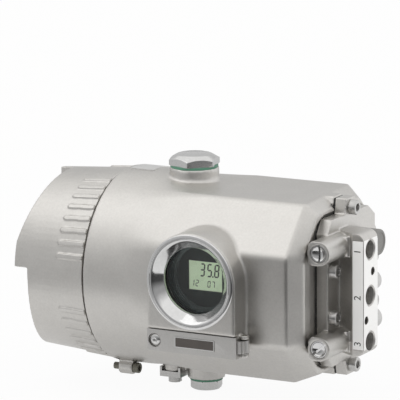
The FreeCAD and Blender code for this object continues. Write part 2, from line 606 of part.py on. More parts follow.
def make_button_cover():
    """Hinged flap over the buttons, its pin, its captive screw and the bare badge."""
    left, right = WINDOW_X - BOSS_HALF_WIDTH, WINDOW_X + BOSS_HALF_WIDTH
    plate = block((left, right + 1.2), (BOSS_FRONT_Y, COVER_BACK_Y), (BOSS_BOTTOM_Z, COVER_TOP_Z))
    knuckle = rod("z", KNUCKLE_BOTTOM_Z, KNUCKLE_TOP_Z, HINGE_KNUCKLE_R, (HINGE_X, HINGE_Y))
    web = block((right - 1.5, HINGE_X), (BOSS_FRONT_Y + 1.5, COVER_BACK_Y),
                (KNUCKLE_BOTTOM_Z, KNUCKLE_TOP_Z))
    heel = block((HINGE_X - 2.6, HINGE_X + 1.6), (COVER_BACK_Y - 2.0, HINGE_Y),
                 (KNUCKLE_BOTTOM_Z, KNUCKLE_TOP_Z))
    flap = plate.multiFuse([knuckle, web, heel])
    at = (COVER_SCREW_X, COVER_SCREW_Z)
    badge_pocket = block(BADGE_X, (BOSS_FRONT_Y, BOSS_FRONT_Y + BADGE_THICKNESS * 0.6), BADGE_Z)
    tools = [rod("z", KNUCKLE_BOTTOM_Z, KNUCKLE_TOP_Z, HINGE_PIN_R + HINGE_RUNNING_GAP, (HINGE_X, HINGE_Y)),
             rod("y", BOSS_FRONT_Y, COVER_BACK_Y, COVER_SCREW_R + 0.3, at),
             rod("y", BOSS_FRONT_Y, BOSS_FRONT_Y + COVER_SCREW_HEAD_H + 0.4, COVER_SCREW_HEAD_R + 0.6, at),
             badge_pocket]
    flap = cut_all(flap, tools)
    pin = rod("z", KNUCKLE_BOTTOM_Z - AXIAL_GAP - EAR_HEIGHT, KNUCKLE_TOP_Z + AXIAL_GAP + EAR_HEIGHT,
              HINGE_PIN_R, (HINGE_X, HINGE_Y))
    seat_y = BOSS_FRONT_Y + COVER_SCREW_HEAD_H + 0.4
    head = rod("y", seat_y - COVER_SCREW_HEAD_H, seat_y, COVER_SCREW_HEAD_R, at)
    cross = [block((at[0] - w, at[0] + w), (seat_y - COVER_SCREW_HEAD_H, seat_y - 1.0),
                   (at[1] - h, at[1] + h)) for w, h in ((2.4, 0.5), (0.5, 2.4))]
    screw = cut_all(head, cross).fuse(rod("y", seat_y, seat_y + COVER_SCREW_LENGTH - COVER_SCREW_HEAD_H,
                                          COVER_SCREW_R, at))
    badge = block(BADGE_X, (BOSS_FRONT_Y - BADGE_THICKNESS * 0.4, BOSS_FRONT_Y + BADGE_THICKNESS * 0.6),
                  BADGE_Z)
    return {"button_cover": flap, "hinge_pin": pin, "cover_screw": screw, "badge_plate": badge}


def make_buttons():
    """Three push rods with their return springs."""
    front = COVER_BACK_Y + BUTTON_COVER_GAP
    floor = COVER_BACK_Y + BUTTON_POCKET
    names = ("mode_button", "down_button", "up_button")
    parts, springs = {}, []
    for name, x in zip(names, BUTTON_XS):
        at = (x, BUTTON_Z)
        head = rod("y", front, front + BUTTON_HEAD, BUTTON_R, at)
        dimple = rod("y", front, front + 0.6, BUTTON_R - 1.6, at)
        stem = rod("y", front + BUTTON_HEAD, BUTTON_STEM_END_Y, BUTTON_STEM_R, at)
        parts[name] = head.cut(dimple).fuse(stem)
        coil_height = floor - (front + BUTTON_HEAD + BUTTON_STROKE) - SPRING_GAP
        springs.append(tube("y", floor - coil_height, floor, BUTTON_R - SPRING_GAP,
                            BUTTON_STEM_R + SPRING_GAP, at))
    parts["button_springs"] = Part.makeCompound(springs)
    return parts


def make_plugs():
    """Blanking plugs of the two cable entries with their seals."""
    at = (TOP_ENTRY_X, 0.0)
    seat = TOP_COLLAR_Z + PLUG_SEAL
    nut = hexagon("z", seat, seat + PLUG_HEIGHT, PLUG_FLAT, at, PLUG_TURN_DEG)
    chamfer = Part.makeCone(PLUG_FLAT * 0.62, PLUG_FLAT * 0.49, PLUG_HEIGHT,
                            V(TOP_ENTRY_X, 0, seat), V(0, 0, 1))
    top = nut.common(chamfer).fuse(rod("z", seat - PLUG_SEAL - PLUG_SHANK, seat,
                                       ENTRY_THREAD_R - THREAD_FIT, at))
    top_seal = tube("z", TOP_COLLAR_Z, seat, TOP_COLLAR_R - 0.6, ENTRY_THREAD_R, at)
    low_at = (BOTTOM_ENTRY_X, 0.0)
    low_seat = BOTTOM_COLLAR_Z - PLUG_SEAL
    cap = hexagon("z", low_seat, low_seat - BOTTOM_PLUG_HEIGHT, BOTTOM_PLUG_R * math.sqrt(3.0), low_at, 12.0)
    bottom = cap.fuse(rod("z", low_seat, BOTTOM_COLLAR_Z + PLUG_SHANK, BOTTOM_THREAD_R - THREAD_FIT, low_at))
    bottom_seal = tube("z", low_seat, BOTTOM_COLLAR_Z, BOTTOM_PLUG_R, BOTTOM_THREAD_R, low_at)
    return {"top_plug": top, "top_plug_seal": top_seal, "bottom_plug": bottom,
            "bottom_plug_seal": bottom_seal}


def make_underside():
    """Earth clamp with its screw, and the screw that locks the cap."""
    sx, sy, sz = CLAMP_SIZE
    plate = block((CLAMP_X - sx / 2, CLAMP_X + sx / 2), (CLAMP_Y - sy / 2, CLAMP_Y + sy / 2),
                  (CLAMP_PAD_Z - sz, CLAMP_PAD_Z))
    lips = [block((CLAMP_X + s * (sx / 2 - 1.6), CLAMP_X + s * sx / 2),
                  (CLAMP_Y - sy / 2, CLAMP_Y + sy / 2), (CLAMP_PAD_Z - sz, CLAMP_PAD_Z + 3.0))
            for s in (-1, 1)]
    clear = rod("z", CLAMP_PAD_Z, CLAMP_PAD_Z + 4.0, CLAMP_PAD_R + 0.1, (CLAMP_X, CLAMP_Y))
    hole = rod("z", CLAMP_PAD_Z - sz, CLAMP_PAD_Z, CLAMP_SCREW_R, (CLAMP_X, CLAMP_Y))
    clamp = plate.multiFuse([lip.cut(clear) for lip in lips]).cut(hole)
    seat = CLAMP_PAD_Z - sz
    head = rod("z", seat - CLAMP_HEAD_H, seat, CLAMP_HEAD_R, (CLAMP_X, CLAMP_Y))
    slot = block((CLAMP_X - 6, CLAMP_X + 6), (CLAMP_Y - 0.7, CLAMP_Y + 0.7),
                 (seat - CLAMP_HEAD_H, seat - CLAMP_HEAD_H + 1.6))
    screw = head.cut(slot).fuse(rod("z", seat, CLAMP_PAD_Z + 8.0, CLAMP_SCREW_R, (CLAMP_X, CLAMP_Y)))
    lock = lock_position()
    lock_head = rod("x", LOCK_X[1], LOCK_X[1] + LOCK_HEAD_H, LOCK_HEAD_R, lock)
    lock_socket = hexagon("x", LOCK_X[1] + 1.6, LOCK_X[1] + LOCK_HEAD_H, 3.6, lock)
    lock_screw = lock_head.cut(lock_socket).fuse(
        rod("x", CAP_FACE_X + 0.4, LOCK_X[1], LOCK_SCREW_R, lock))
    return {"earth_clamp": clamp, "earth_screw": screw, "cap_lock_screw": lock_screw}


def plate_outline(x, thickness, shrink):
    """Foot of the connection block, with cut corners and the two outer lobes."""
    (front_y, front_z), (rear_y, rear_z) = PLATE_CORNERS
    low, high, top = PLATE_Y[0] + shrink, PLATE_Y[1] - shrink, PLATE_HALF_Z - shrink
    upper = [(low, top - front_z), (low + front_y, top), (high - rear_y, top), (high, top - rear_z)]
    plate = prism([V(x, y, z) for y, z in all_corners(upper)], V(thickness, 0, 0))
    half = [h - shrink for h in LOBE_HALF]
    return plate.multiFuse(lobes(x, thickness, LOBE_TOP_Z - shrink, LOBE_FOOT_Z, half))


def make_bar():
    """Bar with a slanted front that runs out into the pad of the label."""
    outline = [(PLATE_FACE_X - 1.0, BAR_Y[1]), (PLATE_FACE_X - 1.0, BAR_Y[0]), (PLATE_FACE_X, BAR_Y[0]),
               (BAR_PAD_X, BAR_PAD_Y), (BAR_X, BAR_PAD_Y), (BAR_X, BAR_Y[1])]
    bar = prism([V(x, y, -BAR_HALF_Z) for x, y in outline], V(0, 0, 2.0 * BAR_HALF_Z))
    for s in (1, -1):
        corner = block((BAR_X - BAR_CORNER_R, BAR_X + 1.0), (BAR_PAD_Y - 1.0, BAR_Y[1] + 1.0),
                       (s * (BAR_HALF_Z - BAR_CORNER_R), s * (BAR_HALF_Z + 1.0)))
        keep = rod("y", BAR_PAD_Y - 1.0, BAR_Y[1] + 1.0, BAR_CORNER_R,
                   (BAR_X - BAR_CORNER_R, s * (BAR_HALF_Z - BAR_CORNER_R)))
        bar = bar.cut(corner.cut(keep))
    return bar


def make_arm(s):
    """Arm that holds a restrictor: round, with a flat back towards the plate."""
    end_y = BAR_Y[0] + ARM_OVERLAP
    bevel = ARM_R - ARM_BACK_HALF
    outline = [(ARM_X, ARM_R), (ARM_BACK_X + bevel, ARM_R), (ARM_BACK_X, ARM_BACK_HALF)]
    outline += [(x, -z) for x, z in reversed(outline)]
    back = prism([V(x, ARM_FRONT_Y, s * ARM_Z + z) for x, z in outline], V(0, end_y - ARM_FRONT_Y, 0))
    return rod("y", ARM_FRONT_Y, end_y, ARM_R, (ARM_X, s * ARM_Z)).fuse(back)


def label_block(front, back):
    """The strip of the port label between two depths."""
    return block((BAR_PAD_X + LABEL_EDGE, BAR_X - LABEL_EDGE), (front, back), (-LABEL_Z, LABEL_Z))


def make_connection_block():
    """Casting with the foot plate, two restrictor arms and the bar with three air ports."""
    foot = plate_outline(PLATE_BACK_X, PLATE_THICKNESS, 0.0)
    bridges = [block((PLATE_FACE_X - 1.0, BAR_PAD_X - BRIDGE_BACK), (BAR_PAD_Y, BAR_Y[1]),
                     (s * ARM_Z - BRIDGE_HALF, s * ARM_Z + BRIDGE_HALF)) for s in (1, -1)]
    solid = foot.multiFuse([make_arm(1), make_arm(-1), make_bar()] + bridges)
    ports = [drilled(PORT_DEPTH, PORT_R, (PORT_Y, z)) for z in PORT_ZS]
    gauge = [drilled(GAUGE_HOLE_DEPTH, GAUGE_HOLE_R, at) for at in GAUGE_HOLES]
    holes = [rod("x", PLATE_BACK_X, PLATE_FACE_X, SCREW_HOLE_R, at) for at in LOBE_SCREWS + INNER_SCREWS]
    seats = [rod("x", PLATE_FACE_X, PLATE_FACE_X + SCREW_HEAD_H, SCREW_SEAT_R, at) for at in INNER_SCREWS]
    needles = [rod("y", ARM_FRONT_Y, ARM_FRONT_Y + RESTRICTOR_LENGTH + RESTRICTOR_SUNK,
                   RESTRICTOR_R + THREAD_FIT, (ARM_X, s * ARM_Z)) for s in (1, -1)]
    shank_r, shank_length = REAR_PLUG_SHANK
    rear = [rod("y", BAR_Y[1] - shank_length, BAR_Y[1], shank_r + THREAD_FIT, (REAR_PLUG_X, z))
            for z, r in REAR_PLUGS]
    silencer = rod("x", PLATE_BACK_X, PLATE_FACE_X, SILENCER_NECK_R + THREAD_FIT, (SILENCER_Y, SILENCER_Z))
    label = label_block(BAR_PAD_Y, BAR_PAD_Y + LABEL_THICKNESS / 2)
    return cut_all(solid, ports + gauge + holes + seats + needles + rear + [silencer, label])


def make_air_side():
    """Everything that is fastened to the connection block."""
    parts = {"connection_block": make_connection_block()}
    gasket = plate_outline(RECESS_X, PLATE_GASKET, 0.4)
    gasket_holes = [rod("x", RECESS_X, PLATE_BACK_X, SCREW_HOLE_R, at) for at in LOBE_SCREWS + INNER_SCREWS]
    gasket_holes.append(rod("x", RECESS_X, PLATE_BACK_X, FEED_THROUGH_R - 4.0))
    parts["block_gasket"] = cut_all(gasket, gasket_holes)
    screws = [socket_screw(PLATE_FACE_X, y, z) for y, z in LOBE_SCREWS + INNER_SCREWS]
    parts["block_screws"] = Part.makeCompound(screws)
    slot_w, slot_d = RESTRICTOR_SLOT
    for name, s in (("upper_restrictor", 1), ("lower_restrictor", -1)):
        at = (ARM_X, s * ARM_Z)
        front = ARM_FRONT_Y + RESTRICTOR_SUNK
        needle = rod("y", front, front + RESTRICTOR_LENGTH, RESTRICTOR_R, at)
        slot = block((ARM_X - slot_w / 2, ARM_X + slot_w / 2), (front, front + slot_d),
                     (s * ARM_Z - RESTRICTOR_R, s * ARM_Z + RESTRICTOR_R))
        if s < 0:
            slot.rotate(V(ARM_X, 0, s * ARM_Z), V(0, 1, 0), LOWER_SLOT_DEG)
        parts[name] = needle.cut(slot)
    parts["port_label"] = label_block(BAR_PAD_Y - LABEL_THICKNESS / 2, BAR_PAD_Y + LABEL_THICKNESS / 2)
    silencer_at = (SILENCER_Y, SILENCER_Z)
    parts["exhaust_silencer"] = rod("x", PLATE_FACE_X, SILENCER_X, SILENCER_R, silencer_at).fuse(
        rod("x", PLATE_BACK_X, PLATE_FACE_X, SILENCER_NECK_R, silencer_at))
    shank_r, shank_length = REAR_PLUG_SHANK
    plugs = []
    for z, r in REAR_PLUGS:
        at = (REAR_PLUG_X, z)
        end = BAR_Y[1] + REAR_PLUG_OUT
        head = rod("y", BAR_Y[1], end, r, at).cut(hexagon("y", end - REAR_PLUG_SOCKET, end, r * 0.9, at))
        plugs.append(head.fuse(rod("y", BAR_Y[1] - shank_length, BAR_Y[1], shank_r, at)))
    parts["gauge_port_plugs"] = Part.makeCompound(plugs)
    return parts


def gear(axis_x, axis_z, teeth, turn_deg):
    """Spur gear about Y with involute flanks, thinned by half the backlash."""
    pitch_r = GEAR_MODULE * teeth / 2.0
    base_r = pitch_r * math.cos(math.radians(PRESSURE_ANGLE_DEG))
    tip_r = pitch_r + 0.9 * GEAR_MODULE
    root_r = pitch_r - 1.2 * GEAR_MODULE
    involute = lambda r: math.sqrt((r / base_r) ** 2 - 1.0) - math.acos(base_r / r)
    half_pitch = math.pi / (2.0 * teeth) - GEAR_BACKLASH / (2.0 * pitch_r)
    radii = [max(base_r, root_r + 0.01) + (tip_r - max(base_r, root_r + 0.01)) * k / 3.0 for k in range(4)]
    points = []
    for tooth in range(teeth):
        middle = math.radians(turn_deg) + 2.0 * math.pi * tooth / teeth
        offsets = [half_pitch + involute(pitch_r) - involute(r) for r in radii]
        flank = [(root_r, offsets[0])] + list(zip(radii, offsets))
        for r, off in flank:
            points.append((r, middle - off))
        for r, off in reversed(flank):
            points.append((r, middle + off))
    spots = [V(axis_x + r * math.cos(a), GEAR_Y, axis_z + r * math.sin(a)) for r, a in points]
    return prism(spots, V(0, GEAR_WIDTH, 0))


def make_feedback():
    """Feedback shaft with its wheels, and the geared potentiometer."""
    at = (SHAFT_X, SHAFT_Z)
    bush = tube("y", HALF_DEPTH - BUSH_LENGTH, HALF_DEPTH, BUSH_R, SHAFT_BEARING_R + SHAFT_FIT, at)
    shoulder = HALF_DEPTH + SHAFT_SHOULDER
    end = shoulder + SHAFT_OUT
    flat = block((SHAFT_X - SHAFT_R, SHAFT_X + SHAFT_R), (end - SHAFT_OUT / 2, end),
                 (SHAFT_Z + SHAFT_R - SHAFT_FLAT, SHAFT_Z + SHAFT_R))
    free_end = rod("y", shoulder, end, SHAFT_R, at).cut(flat)
    shaft = rod("y", SHAFT_INNER_Y, shoulder, SHAFT_BEARING_R, at).fuse(free_end)
    big = gear(SHAFT_X, SHAFT_Z, SHAFT_TEETH, 0.0).cut(
        rod("y", GEAR_Y, GEAR_Y + GEAR_WIDTH, SHAFT_BEARING_R, at))
    wheel_y = GEAR_Y + GEAR_WIDTH
    wheel = tube("y", wheel_y, wheel_y + WHEEL_WIDTH, WHEEL_R, SHAFT_BEARING_R, at)
    notches = []
    for k in range(18):
        a = math.radians(20.0 * k)
        notches.append(rod("y", wheel_y, wheel_y + WHEEL_WIDTH, 0.9,
                           (SHAFT_X + WHEEL_R * math.cos(a), SHAFT_Z + WHEEL_R * math.sin(a))))
    wheel = cut_all(wheel, notches)
    pot_x = SHAFT_X - GEAR_MODULE * (SHAFT_TEETH + POT_TEETH) / 2.0
    pot_at = (pot_x, SHAFT_Z)
    small = gear(pot_x, SHAFT_Z, POT_TEETH, 9.0)
    spindle = rod("y", GEAR_Y - POT_SPINDLE, GEAR_Y, POT_SHAFT_R, pot_at)
    pot_front = CARRIER_Y + CARRIER_THICKNESS
    pot = rod("y", pot_front, pot_front + POT_LENGTH, POT_R, pot_at)
    pot = pot.cut(rod("y", pot_front + 1.0, pot_front + POT_LENGTH, POT_SHAFT_R + SHAFT_FIT, pot_at))
    return {"shaft_bush": bush, "feedback_shaft": shaft, "shaft_gear": big, "clutch_wheel": wheel,
            "pot_gear": small.fuse(spindle), "potentiometer": pot}


def make_display():
    """Display behind the window, with its panel, shroud and board."""
    at = (WINDOW_X, WINDOW_Z)
    half_w, half_h = DISPLAY_SIZE[0] / 2, DISPLAY_SIZE[1] / 2
    spread = lambda w, h, y0, y1: block((WINDOW_X - w, WINDOW_X + w), (y0, y1), (WINDOW_Z - h, WINDOW_Z + h))
    glass = spread(half_w + 1.0, half_h + 1.0, DISPLAY_FRONT_Y, DISPLAY_FRONT_Y + 2.0)
    panel = rod("y", DISPLAY_FRONT_Y - 1.0, DISPLAY_FRONT_Y + 2.0, DISPLAY_PANEL_R, at)
    opening = spread(half_w, half_h, DISPLAY_FRONT_Y - 1.0, DISPLAY_FRONT_Y)
    pocket = spread(half_w + 1.0, half_h + 1.0, DISPLAY_FRONT_Y, DISPLAY_FRONT_Y + 2.0)
    panel = panel.cut(opening).cut(pocket)
    shroud = tube("y", GLASS_BACK_Y + 1.2, DISPLAY_FRONT_Y - 1.0, SHROUD_R, SHROUD_R - SHROUD_WALL, at)
    step = tube("y", DISPLAY_FRONT_Y - 3.4, DISPLAY_FRONT_Y - 1.0, SHROUD_R, SHROUD_R - 3.2, at)
    housing = spread(DISPLAY_FRAME[0] / 2, DISPLAY_FRAME[1] / 2, DISPLAY_FRONT_Y + 2.0,
                     DISPLAY_BACK_Y)
    return {"display_lcd": glass, "display_panel": panel, "display_shroud": shroud.fuse(step),
            "display_module": housing}


def make_electronics():
    """Carrier, boards, terminals and the pneumatic block in the chamber."""
    lane = rod("x", CARRIER_X[0], CARRIER_X[1], CHAMBER_R - 1.0)
    plate = block(CARRIER_X, (CARRIER_Y, CARRIER_Y + CARRIER_THICKNESS), (-CARRIER_HALF_Z, CARRIER_HALF_Z))
    rail_low = TOP_COLLAR_Z - PLUG_SHANK - RAIL_PLUG_GAP
    rail_high = CARRIER_HALF_Z - CARRIER_THICKNESS
    rails = [block(CARRIER_X, (CARRIER_Y - RAIL_HEIGHT, CARRIER_Y), (s * rail_low, s * rail_high))
             for s in (1, -1)]
    feet = [block((CARRIER_X[1] - 1.0, CHAMBER_END_X), (CARRIER_Y, CARRIER_Y + FOOT_WIDTH),
                  (s * FOOT_Z - FOOT_WIDTH / 2, s * FOOT_Z + FOOT_WIDTH / 2)) for s in (1, -1)]
    carrier = plate.multiFuse(rails).common(lane).multiFuse(feet)
    board_y = CARRIER_Y - BOARD_POST
    board = block(BOARD_X, (board_y - BOARD_THICKNESS, board_y), (-BOARD_HALF_Z, BOARD_HALF_Z))
    posts = []
    for x in (BOARD_X[0] + 16.0, BOARD_X[1] - 8.0):
        for z in (-BOARD_HALF_Z + 6.0, BOARD_HALF_Z - 6.0):
            posts.append(rod("y", board_y, CARRIER_Y, POST_R, (x, z)))
    face = board_y - BOARD_THICKNESS
    terminals = block(TERMINAL_X, (face - TERMINAL_DEPTH, face), (-TERMINAL_HALF_Z, TERMINAL_HALF_Z))
    pitch = 2.0 * TERMINAL_HALF_Z / TERMINAL_COUNT
    holes = []
    for k in range(TERMINAL_COUNT):
        z = -TERMINAL_HALF_Z + pitch * (k + 0.5)
        holes.append(block((TERMINAL_X[0], TERMINAL_X[0] + 7.0), (face - 8.0, face - 4.0),
                           (z - 2.0, z + 2.0)))
        holes.append(rod("y", face - TERMINAL_DEPTH, face - TERMINAL_DEPTH + 3.0, 2.2,
                         (TERMINAL_X[0] + 7.0, z)))
    terminals = cut_all(terminals, holes)
    valve = block(VALVE_BLOCK_X, VALVE_BLOCK_Y, (-VALVE_BLOCK_HALF_Z, VALVE_BLOCK_HALF_Z))
    face_y = VALVE_BLOCK_Y[0]
    grooves = [block((VALVE_BLOCK_X[0] + 4.0, VALVE_BLOCK_X[1] - 4.0), (face_y, face_y + 1.5),
                     (z - 1.0, z + 1.0)) for z in (-18.0, -9.0, 0.0, 9.0, 18.0)]
    valve = cut_all(valve, grooves)
    wide, high = PILOT_SIZE
    pilots = [block((VALVE_BLOCK_X[0] + 3.0, VALVE_BLOCK_X[1] - 2.0), (face_y - high, face_y),
                    (s * PILOT_Z - wide / 2, s * PILOT_Z + wide / 2)) for s in (1, -1)]
    board_back = DISPLAY_BACK_Y + BOARD_THICKNESS
    display_board = block(DISPLAY_BOARD_X, (DISPLAY_BACK_Y, board_back), DISPLAY_BOARD_Z)
    in_x, in_z = DISPLAY_POST_INSET
    stand_offs = [rod("y", board_back, face, POST_R, (x, z))
                  for x in (DISPLAY_BOARD_X[0] + in_x, DISPLAY_BOARD_X[1] - in_x)
                  for z in (DISPLAY_BOARD_Z[0] + in_z, DISPLAY_BOARD_Z[1] - in_z)]
    half, key_h = KEY_SWITCH[0] / 2, KEY_SWITCH[1]
    switches = [block((x - half, x + half), (DISPLAY_BACK_Y - key_h, DISPLAY_BACK_Y),
                      (BUTTON_Z - half, BUTTON_Z + half)) for x in BUTTON_XS]
    return {"carrier": carrier, "main_board": board, "board_posts": Part.makeCompound(posts),
            "terminal_strip": terminals, "valve_block": valve, "pilot_valves": Part.makeCompound(pilots),
            "display_board": display_board, "display_posts": Part.makeCompound(stand_offs),
            "key_switches": Part.makeCompound(switches)}


def make_rating_plate():
    """Bare plate bent over the top of the round mouth."""
    ring = tube("x", RATING_X[0], RATING_X[1], RIM_R + RATING_THICKNESS, RIM_R)
    reach = RIM_R + 10.0
    points = [V(RATING_X[0], 0, 0)]
    for deg in RATING_DEG:
        a = math.radians(deg)
        points.append(V(RATING_X[0], -reach * math.cos(a), reach * math.sin(a)))
    wedge = prism(points, V(RATING_X[1] - RATING_X[0], 0, 0))
    return ring.common(wedge)


def main():
    """Build every node and write one file each."""
    nodes = {"housing": make_housing(), "screw_cap": make_cap(), "cap_seal": make_cap_seal(),
             "rating_plate": make_rating_plate()}
    for group in (make_window(), make_button_cover(), make_buttons(), make_plugs(), make_underside(),
                  make_air_side(), make_feedback(), make_display(), make_electronics()):
        nodes.update(group)
    os.makedirs("parts", exist_ok=True)
    for name, shape in nodes.items():
        if not shape.isValid():
            print("not valid:", name)
        shape.translate(-ORIGIN)
        shape.exportStep("parts/" + name + ".step")
        box = shape.BoundBox
        print("%-18s solids %d  x %.1f %.1f  y %.1f %.1f  z %.1f %.1f  volume %.1f cm3" % (
            name, len(shape.Solids), box.XMin, box.XMax, box.YMin, box.YMax, box.ZMin, box.ZMax,
            shape.Volume / 1000.0))


main()
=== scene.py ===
# %% [markdown]
# # A valve positioner in a flameproof stainless steel housing
#
# A positioner opens and closes a process valve. This one sits in a heavy casting: a screwed cap
# on the left, a round display window in front, and a block with the air connections on the right.
# The construction file made every piece at its real size. This scene gives them their looks:
# soft cast edges, machined and polished metal, seals, glass and a display that is switched on.

# %% Load the construction
import json
import math

import bmesh
import bpy
from mathutils import Matrix, Vector


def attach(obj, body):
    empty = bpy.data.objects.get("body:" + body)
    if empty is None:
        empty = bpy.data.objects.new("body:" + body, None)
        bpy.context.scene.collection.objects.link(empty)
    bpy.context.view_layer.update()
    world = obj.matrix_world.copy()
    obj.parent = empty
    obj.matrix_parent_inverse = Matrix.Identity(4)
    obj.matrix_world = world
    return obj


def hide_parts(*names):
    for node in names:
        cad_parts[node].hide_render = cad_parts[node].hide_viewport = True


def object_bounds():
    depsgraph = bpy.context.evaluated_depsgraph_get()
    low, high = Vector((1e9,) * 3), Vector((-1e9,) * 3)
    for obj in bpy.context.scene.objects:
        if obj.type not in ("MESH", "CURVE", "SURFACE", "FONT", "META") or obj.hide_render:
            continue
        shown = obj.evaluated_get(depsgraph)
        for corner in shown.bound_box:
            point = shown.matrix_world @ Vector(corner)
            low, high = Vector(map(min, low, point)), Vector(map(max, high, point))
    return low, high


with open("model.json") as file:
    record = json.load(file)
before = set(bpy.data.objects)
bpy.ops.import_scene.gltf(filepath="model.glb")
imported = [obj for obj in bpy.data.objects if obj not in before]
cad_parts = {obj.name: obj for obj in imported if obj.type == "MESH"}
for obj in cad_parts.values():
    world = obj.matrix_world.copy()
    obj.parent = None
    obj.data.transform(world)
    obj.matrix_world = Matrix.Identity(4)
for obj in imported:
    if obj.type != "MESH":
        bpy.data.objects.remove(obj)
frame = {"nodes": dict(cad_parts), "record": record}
cad_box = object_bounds()
print("construction box, mm:", [round(1000 * (b - a), 1) for a, b in zip(*cad_box)])

# %% [markdown]
# ## Where things are
#
# The shapes below are drawn in millimetres from the long axis of the housing, as on a drawing
# of the casting. X runs from the cap to the air connections, -Y is the window side, Z is up.
# A finished mesh is then moved to the frame of the construction, which starts at the middle of
# the four mounting holes on the rear face, and is turned into metres.

# %% The two frames
ORIGIN = Vector((37.0, 68.9, 0.0))
TO_FRAME = Matrix.Scale(0.001, 4) @ Matrix.Translation(-ORIGIN)


def in_frame(x, y, z):
    """A point of the drawing, in the frame and in metres."""
    return TO_FRAME @ Vector((x, y, z))


# %% [markdown]
# ## The camera comes first
#
# The photograph was taken from the right and a little above, with a long lens. The numbers come
# from the outline of the object: the rim of the joint, the facets and the window fix the angle
# and the distance.

# %% Camera
AZIMUTH, ELEVATION, ROLL = (math.radians(a) for a in (28.37, 11.57, -0.54))
CAMERA_DISTANCE = 2783.0
FOCAL_PIXELS = 4066.0
PHOTO_WIDTH = 400
SENSOR = 36.0
AIM = Vector((-1.0, 0.0, 48.72))

back = Vector((math.sin(AZIMUTH) * math.cos(ELEVATION), -math.cos(AZIMUTH) * math.cos(ELEVATION),
               math.sin(ELEVATION)))
right = Vector((math.cos(AZIMUTH), math.sin(AZIMUTH), 0.0))
up = back.cross(right)
level_right = math.cos(ROLL) * right + math.sin(ROLL) * up
level_up = math.cos(ROLL) * up - math.sin(ROLL) * right
camera_data = bpy.data.cameras.new("camera")
camera_data.lens = SENSOR * FOCAL_PIXELS / PHOTO_WIDTH
camera_data.sensor_width = SENSOR
camera_data.clip_start, camera_data.clip_end = 0.1, 50.0
camera = bpy.data.objects.new("camera", camera_data)
bpy.context.scene.collection.objects.link(camera)
turn = Matrix((level_right, level_up, back)).transposed()
camera.matrix_world = Matrix.Translation(in_frame(*(AIM + back * CAMERA_DISTANCE))) @ turn.to_4x4()
bpy.context.scene.camera = camera
bpy.context.scene.view_settings.view_transform = "Standard"

# %% [markdown]
# ## Writing node trees as sums
#
# A node tree is easier to read as arithmetic than as a list of links. A `Signal` is a socket
# that a number comes out of, and `a * 2 + 1` on it adds the Math nodes. Every other node comes
# from one method, `add`, which takes the node's type, its settings and what feeds its sockets.

# %% Signals and graphs
class Signal:
    """A socket of a node tree with arithmetic on it."""

    def __init__(self, graph, socket):
        self.graph, self.socket = graph, socket

    def calc(self, operation, *operands):
        return self.graph.add("ShaderNodeMath", dict(enumerate(operands)), operation=operation)

    def __add__(self, other):
        return self.calc("ADD", self, other)

    def __mul__(self, other):
        return self.calc("MULTIPLY", self, other)

    def __sub__(self, other):
        return self.calc("SUBTRACT", self, other)

    def __rsub__(self, other):
        return self.calc("SUBTRACT", other, self)

    __radd__, __rmul__ = __add__, __mul__

    def above(self, limit):
        """1 where the signal is above a limit, and 0 elsewhere."""
        return self.calc("GREATER_THAN", self, limit)

    def at_least(self, limit):
        return self.calc("MAXIMUM", self, limit)

    def at_most(self, limit):
        return self.calc("MINIMUM", self, limit)


class Graph:
    """A node tree that is built by adding nodes."""

    def __init__(self, tree):
        self.tree = tree
        tree.nodes.clear()

    def add(self, kind, inputs=None, output=0, ramp=None, **settings):
        node = self.tree.nodes.new(kind)
        for name, value in settings.items():
            setattr(node, name, value)
        if ramp:
            stops = node.color_ramp.elements
            while len(stops) < len(ramp):
                stops.new(0.5)
            for stop, (position, colour) in zip(stops, ramp):
                stop.position, stop.color = position, colour
        for key, value in (inputs or {}).items():
            self.feed(node.inputs[key], value)
        return Signal(self, node.outputs[output]) if len(node.outputs) else None

    def feed(self, socket, value):
        if isinstance(value, Signal):
            self.tree.links.new(value.socket, socket)
        else:
            socket.default_value = value


def grey(level):
    """An opaque grey."""
    return (level, level, level, 1.0)


# %% [markdown]
# ## Finishes
#
# Almost everything here is stainless steel, and what tells the pieces apart is how each one was
# finished: the castings are blasted with fine beads, screws and plugs are turned, and the ring
# of the window is polished. So one function makes all the metals from a few numbers, with a
# cloud of slightly darker and rougher places and a fine grain in the bumps. The patterns read
# Object coordinates, which are metres, so a scale of 1000 gives a pattern about a millimetre
# in size.

# %% Metals
CLOUD_SCALE = 60.0
FLECK_TINT, FLECK_ROUGH = 0.22, 0.06
FLECK_GREY = 0.32
# Near white for the milled face: its bright finish, with a painted highlight of its reflection.
MILLED_WHITE_PAINTED_HIGHLIGHT = (0.94, 0.935, 0.92, 1)


def new_material(name):
    """An empty material and its graph."""
    material = bpy.data.materials.new(name)
    material.use_nodes = True
    return material, Graph(material.node_tree)


def close_material(graph, shader):
    graph.add("ShaderNodeOutputMaterial", {"Surface": shader})


def mix_colour(graph, factor, first, second, blend="MIX"):
    return graph.add("ShaderNodeMix", {0: factor, 6: first, 7: second}, output=2,
                     data_type="RGBA", blend_type=blend)


def noise(graph, where, scale, detail=2.0, roughness=0.5):
    return graph.add("ShaderNodeTexNoise", {"Vector": where, "Scale": scale, "Detail": detail,
                                            "Roughness": roughness})


def grain(graph, height, depth):
    """A bump as deep as a grain, in metres."""
    return graph.add("ShaderNodeBump", {"Height": height, "Distance": depth, "Strength": 1.0})


